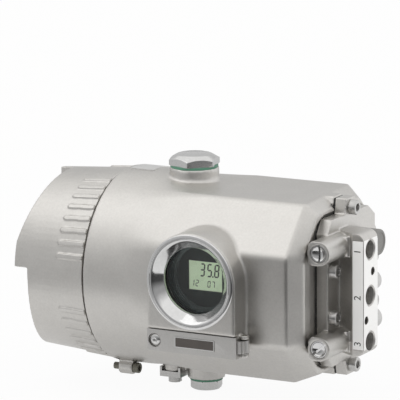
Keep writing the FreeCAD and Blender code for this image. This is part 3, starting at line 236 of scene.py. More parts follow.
def metal(name, dark, light, rough, rough_spread, grain_scale, grain_depth, milled_painted_bright_from=None):
    """A metal. Past a plane x of the frame, the last argument, it is milled, and painted near
    white as a painted highlight.
    """
    material, g = new_material(name)
    where = g.add("ShaderNodeTexCoord", output=3)
    cloud = noise(g, where, CLOUD_SCALE, 4.0, 0.6)
    fleck = noise(g, where, grain_scale * 0.5, 2.0)
    colour = mix_colour(g, cloud, dark, light)
    colour = mix_colour(g, fleck * FLECK_TINT, colour, grey(FLECK_GREY), "MULTIPLY")
    height = noise(g, where, grain_scale, 3.0, 0.65)
    if milled_painted_bright_from:
        split = g.add("ShaderNodeSeparateXYZ", {0: where})
        # Painted highlight: past the plane the milled face is painted near white for its bright
        # reflection.
        colour = mix_colour(g, split.above(milled_painted_bright_from), colour, MILLED_WHITE_PAINTED_HIGHLIGHT)
    shader = g.add("ShaderNodeBsdfPrincipled", {
        "Base Color": colour, "Metallic": 1.0,
        "Roughness": cloud * rough_spread + fleck * FLECK_ROUGH + rough,
        "Normal": grain(g, height, grain_depth)})
    close_material(g, shader)
    return material


# Each metal has its darkest and its lightest colour, then its roughness and how far that
# spreads, then the scale of its grain and the depth of it in metres.
CAST_LOOK = ((0.63, 0.615, 0.59, 1), (0.72, 0.705, 0.68, 1), 0.29, 0.08, 1400.0, 0.00006)
JUST_BEHIND_THE_PORTS = 0.0988
BLASTED = metal("blasted_steel", *CAST_LOOK)
# The milled face of the ports is painted near white, a painted highlight of its bright reflection.
BLOCK_STEEL = metal("block_steel", *CAST_LOOK, milled_painted_bright_from=JUST_BEHIND_THE_PORTS)
BLASTED_FINE = metal("fine_blasted_steel", (0.60, 0.59, 0.575, 1), (0.68, 0.67, 0.655, 1),
                     0.32, 0.08, 2000.0, 0.00003)
TURNED = metal("turned_steel", (0.56, 0.555, 0.545, 1), (0.70, 0.695, 0.685, 1),
               0.22, 0.12, 2600.0, 0.00001)
POLISHED = metal("polished_steel", grey(0.74), grey(0.80), 0.05, 0.05, 900.0, 0.000002)
SHINY = metal("shiny_steel", (0.68, 0.68, 0.675, 1), (0.78, 0.78, 0.775, 1),
              0.11, 0.08, 1200.0, 0.000004)
# Dark steel: the cap lock's own colour, and on the hinge pin painted shade for the shadow it sits
# in.
DARK_STEEL_AND_SHADE = metal("dark_steel_and_shade", (0.16, 0.155, 0.13, 1), (0.30, 0.29, 0.25, 1),
                   0.38, 0.15, 1500.0, 0.00004)
SINTERED = metal("sintered_steel", (0.30, 0.295, 0.285, 1), (0.46, 0.455, 0.44, 1),
                 0.50, 0.12, 1600.0, 0.0002)
BRIGHT_ALLOY = metal("bright_alloy", (0.80, 0.80, 0.79, 1), (0.88, 0.88, 0.87, 1),
                     0.28, 0.10, 1800.0, 0.00001)
CUT_THREAD = metal("cut_thread", (0.80, 0.79, 0.77, 1), (0.90, 0.89, 0.87, 1),
                   0.45, 0.10, 1800.0, 0.00001)
BRASS = metal("brass", (0.62, 0.46, 0.20, 1), (0.75, 0.58, 0.30, 1), 0.22, 0.10, 1500.0, 0.00001)

# %% Plastics, rubber and glass
def moulded(name, dark, light, rough, grain_scale=900.0, grain_depth=0.00003, glow=0.0):
    """Moulded plastic or rubber: two close colours in clouds, with a fine moulded grain."""
    material, g = new_material(name)
    where = g.add("ShaderNodeTexCoord", output=3)
    cloud = noise(g, where, 90.0, 3.0)
    height = noise(g, where, grain_scale, 2.0)
    colour = mix_colour(g, cloud, dark, light)
    shader = g.add("ShaderNodeBsdfPrincipled", {
        "Base Color": colour, "Roughness": cloud * 0.12 + rough,
        "Normal": grain(g, height, grain_depth),
        "Emission Color": colour, "Emission Strength": glow})
    close_material(g, shader)
    return material


def glass_material(name, tint):
    """Clear glass with the faintest film of dust."""
    material, g = new_material(name)
    where = g.add("ShaderNodeTexCoord", output=3)
    film = noise(g, where, 40.0, 3.0)
    shader = g.add("ShaderNodeBsdfPrincipled", {
        "Base Color": tint, "Roughness": film * 0.02, "Transmission Weight": 1.0, "IOR": 1.47})
    close_material(g, shader)
    return material


RUBBER = moulded("seal_rubber", (0.012, 0.012, 0.012, 1), (0.03, 0.03, 0.03, 1), 0.55)
GREEN_SEAL = moulded("green_seal", (0.07, 0.22, 0.15, 1), (0.12, 0.30, 0.20, 1), 0.40)
BLACK_PLASTIC = moulded("black_plastic", (0.006, 0.007, 0.009, 1), (0.016, 0.018, 0.022, 1), 0.38)
SLATE_PLASTIC = moulded("slate_plastic", (0.030, 0.042, 0.050, 1), (0.060, 0.078, 0.088, 1), 0.14)
PALE_PLASTIC = moulded("pale_plastic", (0.60, 0.60, 0.55, 1), (0.70, 0.70, 0.65, 1), 0.42)
ACETAL = moulded("white_acetal", (0.70, 0.67, 0.58, 1), (0.80, 0.77, 0.68, 1), 0.30)
BOARD = moulded("circuit_board", (0.006, 0.07, 0.035, 1), (0.015, 0.12, 0.06, 1), 0.25,
                300.0, 0.00005)
BADGE = moulded("badge_enamel", (0.060, 0.052, 0.047, 1), (0.095, 0.082, 0.074, 1), 0.38,
                700.0, 0.00002)
WHITE_LABEL = moulded("white_label", (0.86, 0.86, 0.85, 1), (0.91, 0.91, 0.90, 1), 0.35,
                      500.0, 0.00001)
LCD = moulded("display_glass", (0.62, 0.70, 0.50, 1), (0.68, 0.76, 0.56, 1), 0.22,
              400.0, 0.000001, glow=0.42)
INK = moulded("display_segments", (0.012, 0.016, 0.014, 1), (0.02, 0.026, 0.022, 1), 0.30)
CLEAR_GLASS = glass_material("window_glass", (0.90, 0.97, 0.94, 1))

# %% Every construction piece gets its finish
FINISHES = {
    "cast_steel": BLASTED, "turned_steel": TURNED, "polished_steel": POLISHED,
    "seal_rubber": RUBBER, "seal_green": GREEN_SEAL, "plate_metal": BRIGHT_ALLOY,
    "badge_dark": BADGE, "window_glass": CLEAR_GLASS, "lcd_glass": LCD,
    "plastic_black": BLACK_PLASTIC, "plastic_pale": PALE_PLASTIC, "gear_plastic": ACETAL,
    "board_green": BOARD, "drawn_brass": BRASS, "light_alloy": BRIGHT_ALLOY,
}
SLOT_OF = {part["node"]: part["material_slot"] for part in frame["record"]["subparts"]}


def finish_with(piece, material):
    piece.data.materials.clear()
    piece.data.materials.append(material)


for node, piece in frame["nodes"].items():
    finish_with(piece, FINISHES[SLOT_OF[node]])
print("finishes given to", len(frame["nodes"]), "construction pieces")

# %% [markdown]
# ## Finishing a construction piece
#
# The meshes of the construction are exact but plain: every edge is razor sharp. There are three
# ways to finish one here. A casting gets rounded edges and filled corners everywhere, which a
# voxel remesh with a little smoothing gives, as sand and melt do. A milled or pressed piece only
# has its edges broken, which is a Bevel modifier. A turned piece is drawn again as rings.

# %% Helpers for meshes
BODY_OF = {node: body for body, nodes in frame["record"]["behaviour"]["bodies"].items()
           for node in nodes}


def new_object(name, mesh):
    piece = bpy.data.objects.new(name, mesh)
    bpy.context.scene.collection.objects.link(piece)
    return piece


def evaluated(carrier):
    """The plain mesh that an object shows. The object itself goes."""
    graph = bpy.context.evaluated_depsgraph_get()
    mesh = bpy.data.meshes.new_from_object(carrier.evaluated_get(graph), depsgraph=graph)
    bpy.data.objects.remove(carrier)
    return mesh


def with_modifiers(mesh, stack):
    """The mesh that a stack of (type, settings) modifiers makes of another."""
    carrier = new_object("carrier_of_modifiers", mesh)
    for kind, settings in stack:
        modifier = carrier.modifiers.new(kind.lower(), kind)
        for name, value in settings.items():
            setattr(modifier, name, value)
    return evaluated(carrier)


def closed_off(bm, name):
    """An edit mesh becomes a plain mesh and is freed."""
    mesh = bpy.data.meshes.new(name)
    bm.to_mesh(mesh)
    bm.free()
    return mesh


def joined(name, meshes):
    """Several meshes as one."""
    bm = bmesh.new()
    for mesh in meshes:
        bm.from_mesh(mesh)
    bmesh.ops.remove_doubles(bm, verts=bm.verts, dist=1e-7)
    return closed_off(bm, name)


def construction_copy(node, flat_angle=None):
    """A merged copy of a construction piece, with its flat faces joined again if asked for."""
    bm = bmesh.new()
    bm.from_mesh(frame["nodes"][node].data)
    bmesh.ops.remove_doubles(bm, verts=bm.verts, dist=2e-6)
    if flat_angle:
        bmesh.ops.dissolve_limit(bm, angle_limit=math.radians(flat_angle), verts=bm.verts,
                                 edges=bm.edges)
    return closed_off(bm, node + "_copy")


def triangles(mesh):
    return sum(len(face.vertices) - 2 for face in mesh.polygons)


def finished(name, mesh, material, sharp_deg):
    """A new piece: smooth, with sharp edges above an angle, and with its finish."""
    mesh.name = name
    mesh.shade_smooth()
    if sharp_deg:
        mesh.set_sharp_from_angle(angle=math.radians(sharp_deg))
    piece = new_object(name, mesh)
    finish_with(piece, material)
    print(name, "has", triangles(mesh), "triangles")
    return piece


def stand_for(name, mesh, node, material, sharp_deg=35.0):
    """A finished piece takes the place of a construction piece on the same body."""
    piece = finished(name, mesh, material, sharp_deg)
    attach(piece, BODY_OF[node])
    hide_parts(node)


def add_on(name, mesh, node, material, sharp_deg=35.0):
    """A small extra piece that sits on a construction piece and moves with it."""
    piece = finished(name, mesh, material, sharp_deg)
    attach(piece, BODY_OF[node])


# %% [markdown]
# ## The castings
#
# The housing, the cap and the connection block are investment castings. A voxel remesh rebuilds
# the surface on a fine grid, so that sharp edges come out one grid step wide, and the Smooth
# modifier then turns them into small radii and puts a fillet into each inner corner. The grid is
# finer where the forms are smaller, as on the grip bars of the cap. The housing and the cap are
# made here. The block also needs its bores, so it has a step of its own further down.

# %% Castings
MOST_TRIANGLES = 190000


def as_cast(node, voxel_mm, passes):
    """A construction piece with the soft edges of a casting."""
    soft = with_modifiers(construction_copy(node), [
        ("REMESH", {"mode": "VOXEL", "voxel_size": voxel_mm * 0.001, "use_smooth_shade": True}),
        ("SMOOTH", {"factor": 0.5, "iterations": passes})])
    count = triangles(soft)
    if count > MOST_TRIANGLES:
        soft = with_modifiers(soft, [("DECIMATE", {"ratio": MOST_TRIANGLES / count})])
    return soft


COARSE, FINE = 1.0, 0.55
stand_for("housing_casting", as_cast("housing", COARSE, 2), "housing", BLASTED, sharp_deg=None)
stand_for("cap_casting", as_cast("screw_cap", FINE, 1), "screw_cap", BLASTED, sharp_deg=None)

# %% [markdown]
# ## Milled and pressed pieces
#
# The flap, the clamp, the pins and the small plates have flat faces and clean edges. Their
# triangles are first joined to the flat faces that they came from, because a bevel can only run
# along a real edge, and then each edge that turns by more than 30 degrees gets a narrow round.

# %% Edges are broken
def edges_broken(node, width_mm):
    """A construction piece with a small round on its edges."""
    return with_modifiers(construction_copy(node, flat_angle=0.6), [
        ("BEVEL", {"width": width_mm * 0.001, "segments": 2, "limit_method": "ANGLE",
                   "angle_limit": math.radians(30.0), "miter_outer": "MITER_ARC"})])


MILLED = {
    "flap_of_the_buttons": ("button_cover", 0.6, BLASTED_FINE),
    "clamp_plate": ("earth_clamp", 0.4, TURNED),
    "clamp_screw": ("earth_screw", 0.3, TURNED),
    "cap_lock": ("cap_lock_screw", 0.25, DARK_STEEL_AND_SHADE),
    "plugs_behind_the_bar": ("gauge_port_plugs", 0.4, TURNED),
    "badge": ("badge_plate", 0.12, BADGE),
    "label_of_the_ports": ("port_label", 0.12, WHITE_LABEL),
    "shaft": ("feedback_shaft", 0.35, TURNED),
    # The hinge pin's dark steel is painted shade: the pin sits in shadow beside the flap.
    "hinge_pin_turned": ("hinge_pin", 0.3, DARK_STEEL_AND_SHADE),
}
for name, (node, width, material) in MILLED.items():
    stand_for(name, edges_broken(node, width), node, material, sharp_deg=18.0)

# %% [markdown]
# ## Turned pieces
#
# A lathe makes rings, so these pieces are lists of rings: a height along the axis, a radius, and
# for a hexagon the width across its flats. Where a ring has both, the smaller one wins, and that
# is just how the round chamfer on a hexagon comes about.

# %% Rings to meshes
AXES = {"x": Matrix(((0, 0, 1), (1, 0, 0), (0, 1, 0))),
        "y": Matrix(((0, 1, 0), (0, 0, 1), (1, 0, 0))),
        "z": Matrix.Identity(3)}


def turned(axis, centre, rings, segments=96, turn_deg=0.0, closed=False):
    """A closed mesh from (height, radius[, width across the flats]) rings, in frame metres.

    With closed=True the last ring joins the first, which makes a ring with a hole.
    """
    bm = bmesh.new()
    rows = []
    for height, radius, *flats in rings:
        if radius == 0.0:
            rows.append([bm.verts.new((0.0, 0.0, height))])
            continue
        row = []
        for k in range(segments):
            a = 2.0 * math.pi * k / segments
            r = radius
            if flats:
                fold = (a - math.radians(turn_deg) + math.pi / 6) % (math.pi / 3) - math.pi / 6
                r = min(r, flats[0] / 2.0 / math.cos(fold))
            row.append(bm.verts.new((r * math.cos(a), r * math.sin(a), height)))
        rows.append(row)
    pairs = list(zip(rows, rows[1:])) + ([(rows[-1], rows[0])] if closed else [])
    for low, high in pairs:
        for k in range(segments):
            corners = [low[k % len(low)], low[(k + 1) % len(low)],
                       high[(k + 1) % len(high)], high[k % len(high)]]
            bm.faces.new(list(dict.fromkeys(corners)))
    bmesh.ops.recalc_face_normals(bm, faces=bm.faces)
    mesh = closed_off(bm, "turned")
    mesh.transform(TO_FRAME @ Matrix.Translation(Vector(centre)) @ AXES[axis].to_4x4())
    return mesh


def cut_with(mesh, cutters):
    """The mesh with other closed meshes cut out of it."""
    for cutter in cutters:
        tool = new_object("cutting_tool", cutter)
        mesh = with_modifiers(mesh, [("BOOLEAN", {"object": tool, "operation": "DIFFERENCE",
                                                  "solver": "EXACT"})])
        bpy.data.objects.remove(tool)
    return mesh


def slab(size, centre, turn_deg):
    """A plain block as a cutter, turned about a line along Y through its centre."""
    bm = bmesh.new()
    bmesh.ops.create_cube(bm, size=1.0)
    mesh = closed_off(bm, "slab")
    mesh.transform(TO_FRAME @ Matrix.Translation(Vector(centre))
                   @ Matrix.Rotation(math.radians(turn_deg), 4, "Y")
                   @ Matrix.Diagonal((*size, 1.0)))
    return mesh


# %% The window ring
WINDOW = (37.1, 0.0, 11.9)
BOSS_FRONT, RING_FRONT, GLASS_FRONT = -85.8, -87.0, -78.5
window_ring = [(GLASS_FRONT, 22.6), (GLASS_FRONT, 29.5), (BOSS_FRONT, 29.5), (BOSS_FRONT, 32.4),
               (-86.45, 32.4), (-86.7, 32.25), (-86.85, 32.0), (RING_FRONT, 31.6),
               (RING_FRONT, 30.3), (-86.75, 30.1), (-86.75, 29.8), (-86.95, 29.6),
               (-86.95, 28.9), (-86.6, 28.3), (-85.0, 26.9), (-83.3, 25.4), (-81.8, 24.1),
               (-80.6, 23.05), (-80.2, 22.75), (-79.9, 22.62)]
stand_for("window_ring", turned("y", WINDOW, window_ring, 160, closed=True), "bezel_ring",
          POLISHED)

# %% Plugs of the cable entries
# The top plug has a flat hexagon with a wide cone above it. The cone needs many rings, because
# it meets each flat in a curve.
PLUG_TURN_DEG = 12.0
TOP_PLUG, TOP_SHANK = (-5.1, 0.0, 0.0), 9.95
PLUG_SEAT, PLUG_TOP, PLUG_FLATS = 73.6, 81.0, 31.0
CONE_FOOT, CONE_HEIGHT, CONE_RADIUS, CONE_NARROWS, CONE_STEPS = 77.4, 1.4, 17.9, 2.45, 8
top_rings = [(58.0, 0.0), (58.0, 9.2), (58.8, TOP_SHANK), (PLUG_SEAT, TOP_SHANK),
             (PLUG_SEAT, 17.3, PLUG_FLATS), (PLUG_SEAT + 0.4, CONE_RADIUS, PLUG_FLATS)]
top_rings += [(CONE_FOOT + CONE_HEIGHT * k / CONE_STEPS,
               CONE_RADIUS - CONE_NARROWS * k / CONE_STEPS, PLUG_FLATS)
              for k in range(CONE_STEPS + 1)]
top_rings += [(80.2, 13.2), (80.7, 12.2), (PLUG_TOP, 11.0), (PLUG_TOP, 0.0)]
stand_for("plug_above", turned("z", TOP_PLUG, top_rings, 120, PLUG_TURN_DEG), "top_plug", SHINY,
          25.0)

LOW_PLUG, LOW_SHANK, LOW_HEX = (2.8, 0.0, 0.0), 7.95, 11.3
LOW_SEAT, LOW_END, LOW_FLATS = -76.6, -82.8, LOW_HEX * math.sqrt(3.0)
low_rings = [(-61.0, 0.0), (-61.0, 7.3), (-61.7, LOW_SHANK), (LOW_SEAT, LOW_SHANK),
             (LOW_SEAT, 10.9, LOW_FLATS), (-77.0, LOW_HEX, LOW_FLATS),
             (-81.4, LOW_HEX, LOW_FLATS), (-82.3, 10.4, LOW_FLATS), (LOW_END, 9.5),
             (LOW_END, 4.0), (-82.2, 3.6), (-82.2, 0.0)]
stand_for("plug_below", turned("z", LOW_PLUG, low_rings, 96, PLUG_TURN_DEG), "bottom_plug",
          SHINY, 25.0)

# %% Restrictors
# The front face of a needle is dished and polished, and a slot for a screwdriver runs across.
ARM_X, ARM_Z, NEEDLE_BACK, NEEDLE_FRONT, NEEDLE_RADIUS = 116.4, 32.4, -41.4, -53.4, 6.1
DISH_DEPTH, DISH_RADIUS = 1.9, 5.2
SLOT_SIZE = (1.5, 6.0, 13.0)
needle_rings = [(NEEDLE_BACK, 0.0), (NEEDLE_BACK, 5.6), (-41.9, NEEDLE_RADIUS),
                (-52.9, NEEDLE_RADIUS), (NEEDLE_FRONT, 5.7)]
needle_rings += [(NEEDLE_FRONT + DISH_DEPTH * math.sin(math.radians(a)),
                  DISH_RADIUS * math.cos(math.radians(a))) for a in range(0, 85, 12)]
needle_rings += [(NEEDLE_FRONT + DISH_DEPTH, 0.0)]
for name, node, side, slot_deg in (("restrictor_above", "upper_restrictor", 1, 0.0),
                                   ("restrictor_below", "lower_restrictor", -1, 50.0)):
    needle = turned("y", (ARM_X, 0.0, side * ARM_Z), needle_rings)
    slot = slab(SLOT_SIZE, (ARM_X, NEEDLE_FRONT, side * ARM_Z), slot_deg)
    stand_for(name, cut_with(needle, [slot]), node, POLISHED)

# %% Captive screw of the flap
# A domed head with a hexagon socket. The heights count from the seat of the head.
CAPTIVE_SCREW, HEAD_SEAT = (9.7, 0.0, -30.0), -83.2
captive_rings = [(8.8, 0.0), (8.8, 1.6), (8.5, 1.9), (0.0, 1.9), (0.0, 4.2), (-0.7, 4.2),
                 (-1.3, 3.9), (-1.8, 3.3), (-2.1, 2.5), (-2.2, 1.8), (-1.9, 1.7, 2.7),
                 (-0.7, 1.6, 2.6), (-0.5, 0.0)]
captive_rings = [(HEAD_SEAT + height, *widths) for height, *widths in captive_rings]
stand_for("captive_screw", turned("y", CAPTIVE_SCREW, captive_rings, 72), "cover_screw", SHINY)

# %% Silencer
SILENCER = (0.0, 15.5, 28.3)
silencer_rings = [(105.5, 0.0), (105.5, 6.5), (113.7, 6.5), (113.7, 8.5), (114.1, 8.9),
                  (127.4, 8.9), (128.2, 8.5), (128.5, 7.9), (128.5, 6.6), (128.1, 6.3),
                  (128.1, 0.0)]
stand_for("silencer", turned("x", SILENCER, silencer_rings), "exhaust_silencer", SINTERED)

# %% Steps of the display shroud
shroud_rings = [(-61.0, 24.2), (-68.8, 24.2), (-68.8, 22.9), (-66.9, 22.9), (-66.7, 22.6),
                (-65.4, 22.6), (-65.2, 22.2), (-63.9, 22.2), (-63.7, 21.6), (-62.6, 21.6),
                (-62.4, 21.0), (-61.0, 21.0)]
stand_for("stepped_shroud", turned("y", WINDOW, shroud_rings, closed=True), "display_shroud",
          SLATE_PLASTIC)

# %% [markdown]
# ## Six socket screws by Geometry Nodes
#
# The block is held by six equal screws. One is turned, with its hexagon socket, and a node tree
# puts a copy on each of six points and turns each one by its own angle, because no two screws
# stop at the same place. Realize Instances makes real mesh of the copies.

# %% Trees that make geometry
def geometry_tree(name, **inputs):
    """An empty tree with named inputs, given as (socket type, value)."""
    tree = bpy.data.node_groups.new(name, "GeometryNodeTree")
    for way in ("INPUT", "OUTPUT"):
        tree.interface.new_socket("Geometry", in_out=way, socket_type="NodeSocketGeometry")
    for key, (kind, value) in inputs.items():
        socket = tree.interface.new_socket(key, in_out="INPUT", socket_type="NodeSocket" + kind)
        if value is not None:
            socket.default_value = value
    g = Graph(tree)
    entry = tree.nodes.new("NodeGroupInput")
    return g, {socket.name: Signal(g, socket) for socket in entry.outputs if socket.name}


def close_tree(g, geometry, material):
    real = g.add("GeometryNodeRealizeInstances", {0: geometry})
    done = g.add("GeometryNodeSetMaterial", {0: real, "Material": material})
    g.add("NodeGroupOutput", {0: done})


def grown(mesh, g, **values):
    """The plain mesh that a tree makes from a mesh and the values of its inputs."""
    carrier = new_object("carrier_of_a_tree", mesh)
    modifier = carrier.modifiers.new("tree", "NODES")
    modifier.node_group = g.tree
    for item in g.tree.interface.items_tree:
        if item.in_out == "INPUT" and item.name in values:
            modifier[item.identifier] = values[item.name]
    return evaluated(carrier)


def points_mesh(points):
    """Loose points of the drawing, in frame metres."""
    mesh = bpy.data.meshes.new("points")
    mesh.from_pydata([tuple(in_frame(*p)) for p in points], [], [])
    return mesh


# %% The socket screws
SCREW_FACE = 113.7
SCREW_Y, SCREW_Z, END_SCREW_Y, END_SCREW_Z = 28.9, 15.9, 0.5, 54.2
SCREW_PLACES = [(SCREW_FACE, END_SCREW_Y, END_SCREW_Z), (SCREW_FACE, END_SCREW_Y, -END_SCREW_Z)]
SCREW_PLACES += [(SCREW_FACE, sy * SCREW_Y, sz * SCREW_Z) for sy in (-1, 1) for sz in (1, -1)]
screw_rings = [(-20.0, 0.0), (-20.0, 2.4), (-19.3, 2.95), (0.0, 2.95), (0.0, 4.7), (0.25, 5.0),
               (4.5, 5.0), (5.1, 4.65), (5.3, 4.2), (5.3, 3.05), (5.05, 4.0, 5.1),
               (2.1, 4.0, 5.0), (1.2, 0.0)]
one_screw = new_object("one_screw", turned("x", tuple(ORIGIN), screw_rings, 72))
g, given = geometry_tree("screws_on_points", Screw=("Object", None), Seed=("Int", 3),
                         Most_turn=("Float", math.radians(60.0)))
screw_shape = g.add("GeometryNodeObjectInfo", {0: given["Screw"]}, output="Geometry")
angle = g.add("FunctionNodeRandomValue", {"Max": given["Most_turn"], "Seed": given["Seed"]},
              output=1, data_type="FLOAT")
spin = g.add("ShaderNodeCombineXYZ", {0: angle})
copies = g.add("GeometryNodeInstanceOnPoints", {
    "Points": given["Geometry"], "Instance": screw_shape, "Rotation": spin})
close_tree(g, copies, TURNED)
screws = grown(points_mesh(SCREW_PLACES), g, Screw=one_screw, Seed=5)
bpy.data.objects.remove(one_screw)
stand_for("socket_screws", screws, "block_screws", TURNED)

# %% [markdown]
# ## The connection block and its bores
#
# The grid of the remesh would leave the small bores ragged, so they are drilled again in the
# finished casting. All the drills are one mesh, because a single cut is quicker than five. The
# ports get a chamfer, as a real thread has.

# %% Block with drilled bores
PORT_FACE, PORT_Y, PORT_ZS = 136.0, -15.2, (30.0, -1.5, -33.0)
SMALL_BORES = ((-11.5, 14.6), (-21.2, -17.4))
DRILL_CLEAR = 0.5  # how far the countersink runs on in front of the face
DRILL_END = PORT_FACE + 2.0


def drill(y, z, radius, depth, chamfer):
    """A drill with a countersink, along X and into the face of the ports."""
    tip, wide = PORT_FACE - depth, radius + chamfer + DRILL_CLEAR
    rings = [(tip, 0.0), (tip, radius), (PORT_FACE - chamfer, radius),
             (PORT_FACE + DRILL_CLEAR, wide), (DRILL_END, wide), (DRILL_END, 0.0)]
    return turned("x", (0.0, y, z), rings, 72)


drills = [drill(PORT_Y, z, radius=6.8, depth=13.4, chamfer=0.8) for z in PORT_ZS]
drills += [drill(y, z, radius=2.75, depth=8.3, chamfer=0.3) for y, z in SMALL_BORES]
block = cut_with(as_cast("connection_block", FINE, 2), [joined("drills", drills)])
stand_for("block_casting", block, "connection_block", BLOCK_STEEL, sharp_deg=40.0)

# %% [markdown]
# ## Threads in the ports
#
# The three air ports have pipe threads, which show as fine bright lines in the dark bore. A
# thread is drawn as rings one pitch apart, each a circle swept with a small triangle. The tree
# takes the radius, the pitch, the number of turns and the depth as its inputs.

# %% Port threads
FIRST_THREAD = PORT_FACE - 1.1
g, given = geometry_tree("thread_rings", Radius=("Float", 0.00658), Pitch=("Float", 0.001337),
                         Turns=("Int", 8), Depth=("Float", 0.0006))
circle = g.add("GeometryNodeCurvePrimitiveCircle", {"Resolution": 56, "Radius": given["Radius"]})
ridge = g.add("GeometryNodeCurvePrimitiveCircle", {"Resolution": 3, "Radius": given["Depth"]})
ring = g.add("GeometryNodeCurveToMesh", {"Curve": circle, "Profile Curve": ridge})
upright = g.add("GeometryNodeTransform", {"Geometry": ring, "Rotation": (0.0, math.pi / 2, 0.0)})
step = g.add("ShaderNodeCombineXYZ", {0: given["Pitch"] * -1.0})
line = g.add("GeometryNodeMeshLine", {"Count": given["Turns"], "Offset": step})
thread = g.add("GeometryNodeInstanceOnPoints", {"Points": line, "Instance": upright})
ports = g.add("GeometryNodeInstanceOnPoints", {"Points": given["Geometry"], "Instance": thread})
close_tree(g, ports, CUT_THREAD)
threads = grown(points_mesh([(FIRST_THREAD, PORT_Y, z) for z in PORT_ZS]), g, Turns=8)
add_on("port_threads", threads, "connection_block", CUT_THREAD, 20.0)

# %% [markdown]
# ## The display
#
# The display shows a value in large seven-segment digits and two small numbers below it. Each
# segment is a flat bar with pointed ends, a twentieth of a millimetre thick, as liquid crystal
# segments look. They lean to the right by five degrees.

# %% Seven segments
SEGMENTS = {"a": ((0, 2), (1, 2)), "b": ((1, 2), (1, 1)), "c": ((1, 1), (1, 0)),
            "d": ((0, 0), (1, 0)), "e": ((0, 1), (0, 0)), "f": ((0, 2), (0, 1)),
            "g": ((0, 1), (1, 1))}
LIT = {"0": "abcdef", "1": "bc", "2": "abged", "3": "abgcd", "5": "afgcd", "7": "abc",
       "8": "abcdefg"}
LARGE = {"width": 3.75, "height": 9.1, "pitch": 5.4, "bold": 0.95}
SMALL = {"width": 2.2, "height": 4.5, "pitch": 3.3, "bold": 0.5}
LEAN = math.tan(math.radians(5.0))
GAP = 0.08
LCD_FRONT, SEGMENT_THICKNESS = -60.02, 0.05


def segment_bars(text, left, foot, width, height, pitch, bold):
    """The corner points of each bar of a number, in X and Z of the drawing."""
    bars = []
    for symbol in text:
        if symbol == ".":
            x = left - (pitch - width) / 2.0
            bars.append([(x - bold / 2, foot), (x + bold / 2, foot), (x + bold / 2, foot + bold),
                         (x - bold / 2, foot + bold)])
            continue
        for letter in LIT[symbol]:
            a, b = (Vector((left + bold / 2 + u * (width - bold),
                            foot + bold / 2 + v * (height - bold) / 2))
                    for u, v in SEGMENTS[letter])
            along = (b - a).normalized()
            a, b = a + along * bold * GAP, b - along * bold * GAP
            side = Vector((-along.y, along.x)) * bold / 2
            tip = along * bold / 2
            bars.append([a, a + tip + side, b - tip + side, b, b - tip - side, a + tip - side])
        left += pitch
    return [[(x + (z - foot) * LEAN, z) for x, z in bar] for bar in bars]


def raised(outlines, back, front):
    """Flat outlines in X and Z, as thin closed solids between two depths."""
    bm = bmesh.new()
    for outline in outlines:
        rows = [[bm.verts.new((x, y, z)) for x, z in outline] for y in (back, front)]
        bm.faces.new(rows[0])
        bm.faces.new(list(reversed(rows[1])))
        for k in range(len(outline)):
            j = (k + 1) % len(outline)
            bm.faces.new((rows[0][j], rows[0][k], rows[1][k], rows[1][j]))
    bmesh.ops.recalc_face_normals(bm, faces=bm.faces)
    mesh = closed_off(bm, "raised")
    mesh.transform(TO_FRAME)
    return mesh


bars = []
for text, left, foot, look in (("35.8", 32.3, 11.3, LARGE), ("12", 25.8, 4.2, SMALL),
                               ("07", 38.1, 4.2, SMALL)):
    bars += segment_bars(text, left, foot, **look)
add_on("display_digits", raised(bars, LCD_FRONT, LCD_FRONT - SEGMENT_THICKNESS), "display_lcd",
       INK)

# %% [markdown]
# ## Small things on the front
#
# The dark plate on the flap is left bare and keeps its thin bright border. The white label
# carries only the numbers of the three ports, which read upwards.

# %% Border of the badge
def frame_of(x, z, width):
    """Four thin bars round a rectangle in X and Z."""
    (x0, x1), (z0, z1) = x, z
    between = (z0 + width, z1 - width)
    spans = [(x, (z0, z0 + width)), (x, (z1 - width, z1)),
             ((x0, x0 + width), between), ((x1 - width, x1), between)]
    return [[(left, low), (right, low), (right, high), (left, high)]
            for (left, right), (low, high) in spans]


BADGE_FRONT, BADGE_X, BADGE_Z = -86.12, (25.4, 54.9), (-33.2, -26.1)
BORDER_WIDTH, BORDER_SUNK, BORDER_PROUD = 0.45, 0.1, 0.12
border = raised(frame_of(BADGE_X, BADGE_Z, BORDER_WIDTH), BADGE_FRONT + BORDER_SUNK,
                BADGE_FRONT - BORDER_PROUD)
add_on("badge_border", border, "badge_plate", BRIGHT_ALLOY)

# %% Numbers on the label
LABEL_FRONT, LABEL_X = -25.72, 131.6
NUMBER_SIZE, NUMBER_DEPTH = 7.0, 0.04


def number_mesh(text, z):
    """A number that reads upwards on the label, as a thin closed mesh."""
    curve = bpy.data.curves.new("number", "FONT")
    curve.body, curve.size, curve.extrude = text, NUMBER_SIZE, NUMBER_DEPTH
    curve.align_x, curve.align_y = "CENTER", "CENTER"
    mesh = evaluated(new_object("carrier_of_a_number", curve))
    reads_up = Matrix(((0, -1, 0), (0, 0, -1), (1, 0, 0))).to_4x4()
    mesh.transform(TO_FRAME @ Matrix.Translation((LABEL_X, LABEL_FRONT, z)) @ reads_up)
    return mesh


numbers = joined("numbers", [number_mesh(text, z) for text, z in zip("123", PORT_ZS)])
add_on("port_numbers", numbers, "port_label", INK)

# %% [markdown]
# ## Light
#
# Metal shows its surroundings, so the light is planned as what each facet reflects. The room is
# white, for the camera and in the reflections. Photographers hang grey cards round polished metal
# to give it shape, and here one soft grey card runs round the object, with a foot on the floor.
# It is dark towards the front right, where the front facet looks, and white behind on the right,
# where the end face looks. It gets lighter above the floor, fades out upwards, and is seen in
# reflections only.

# %% World and floor
FLOOR_Z, FLOOR_SIZE = cad_box[0].z, 6.0
ROOM_LEVEL, ROOM_WHITE = 0.95, (1.0, 0.995, 0.985, 1.0)
FLOOR_GREY, FLOOR_TO_CAMERA, FLOOR_TO_METAL = 0.85, 0.94, 0.42


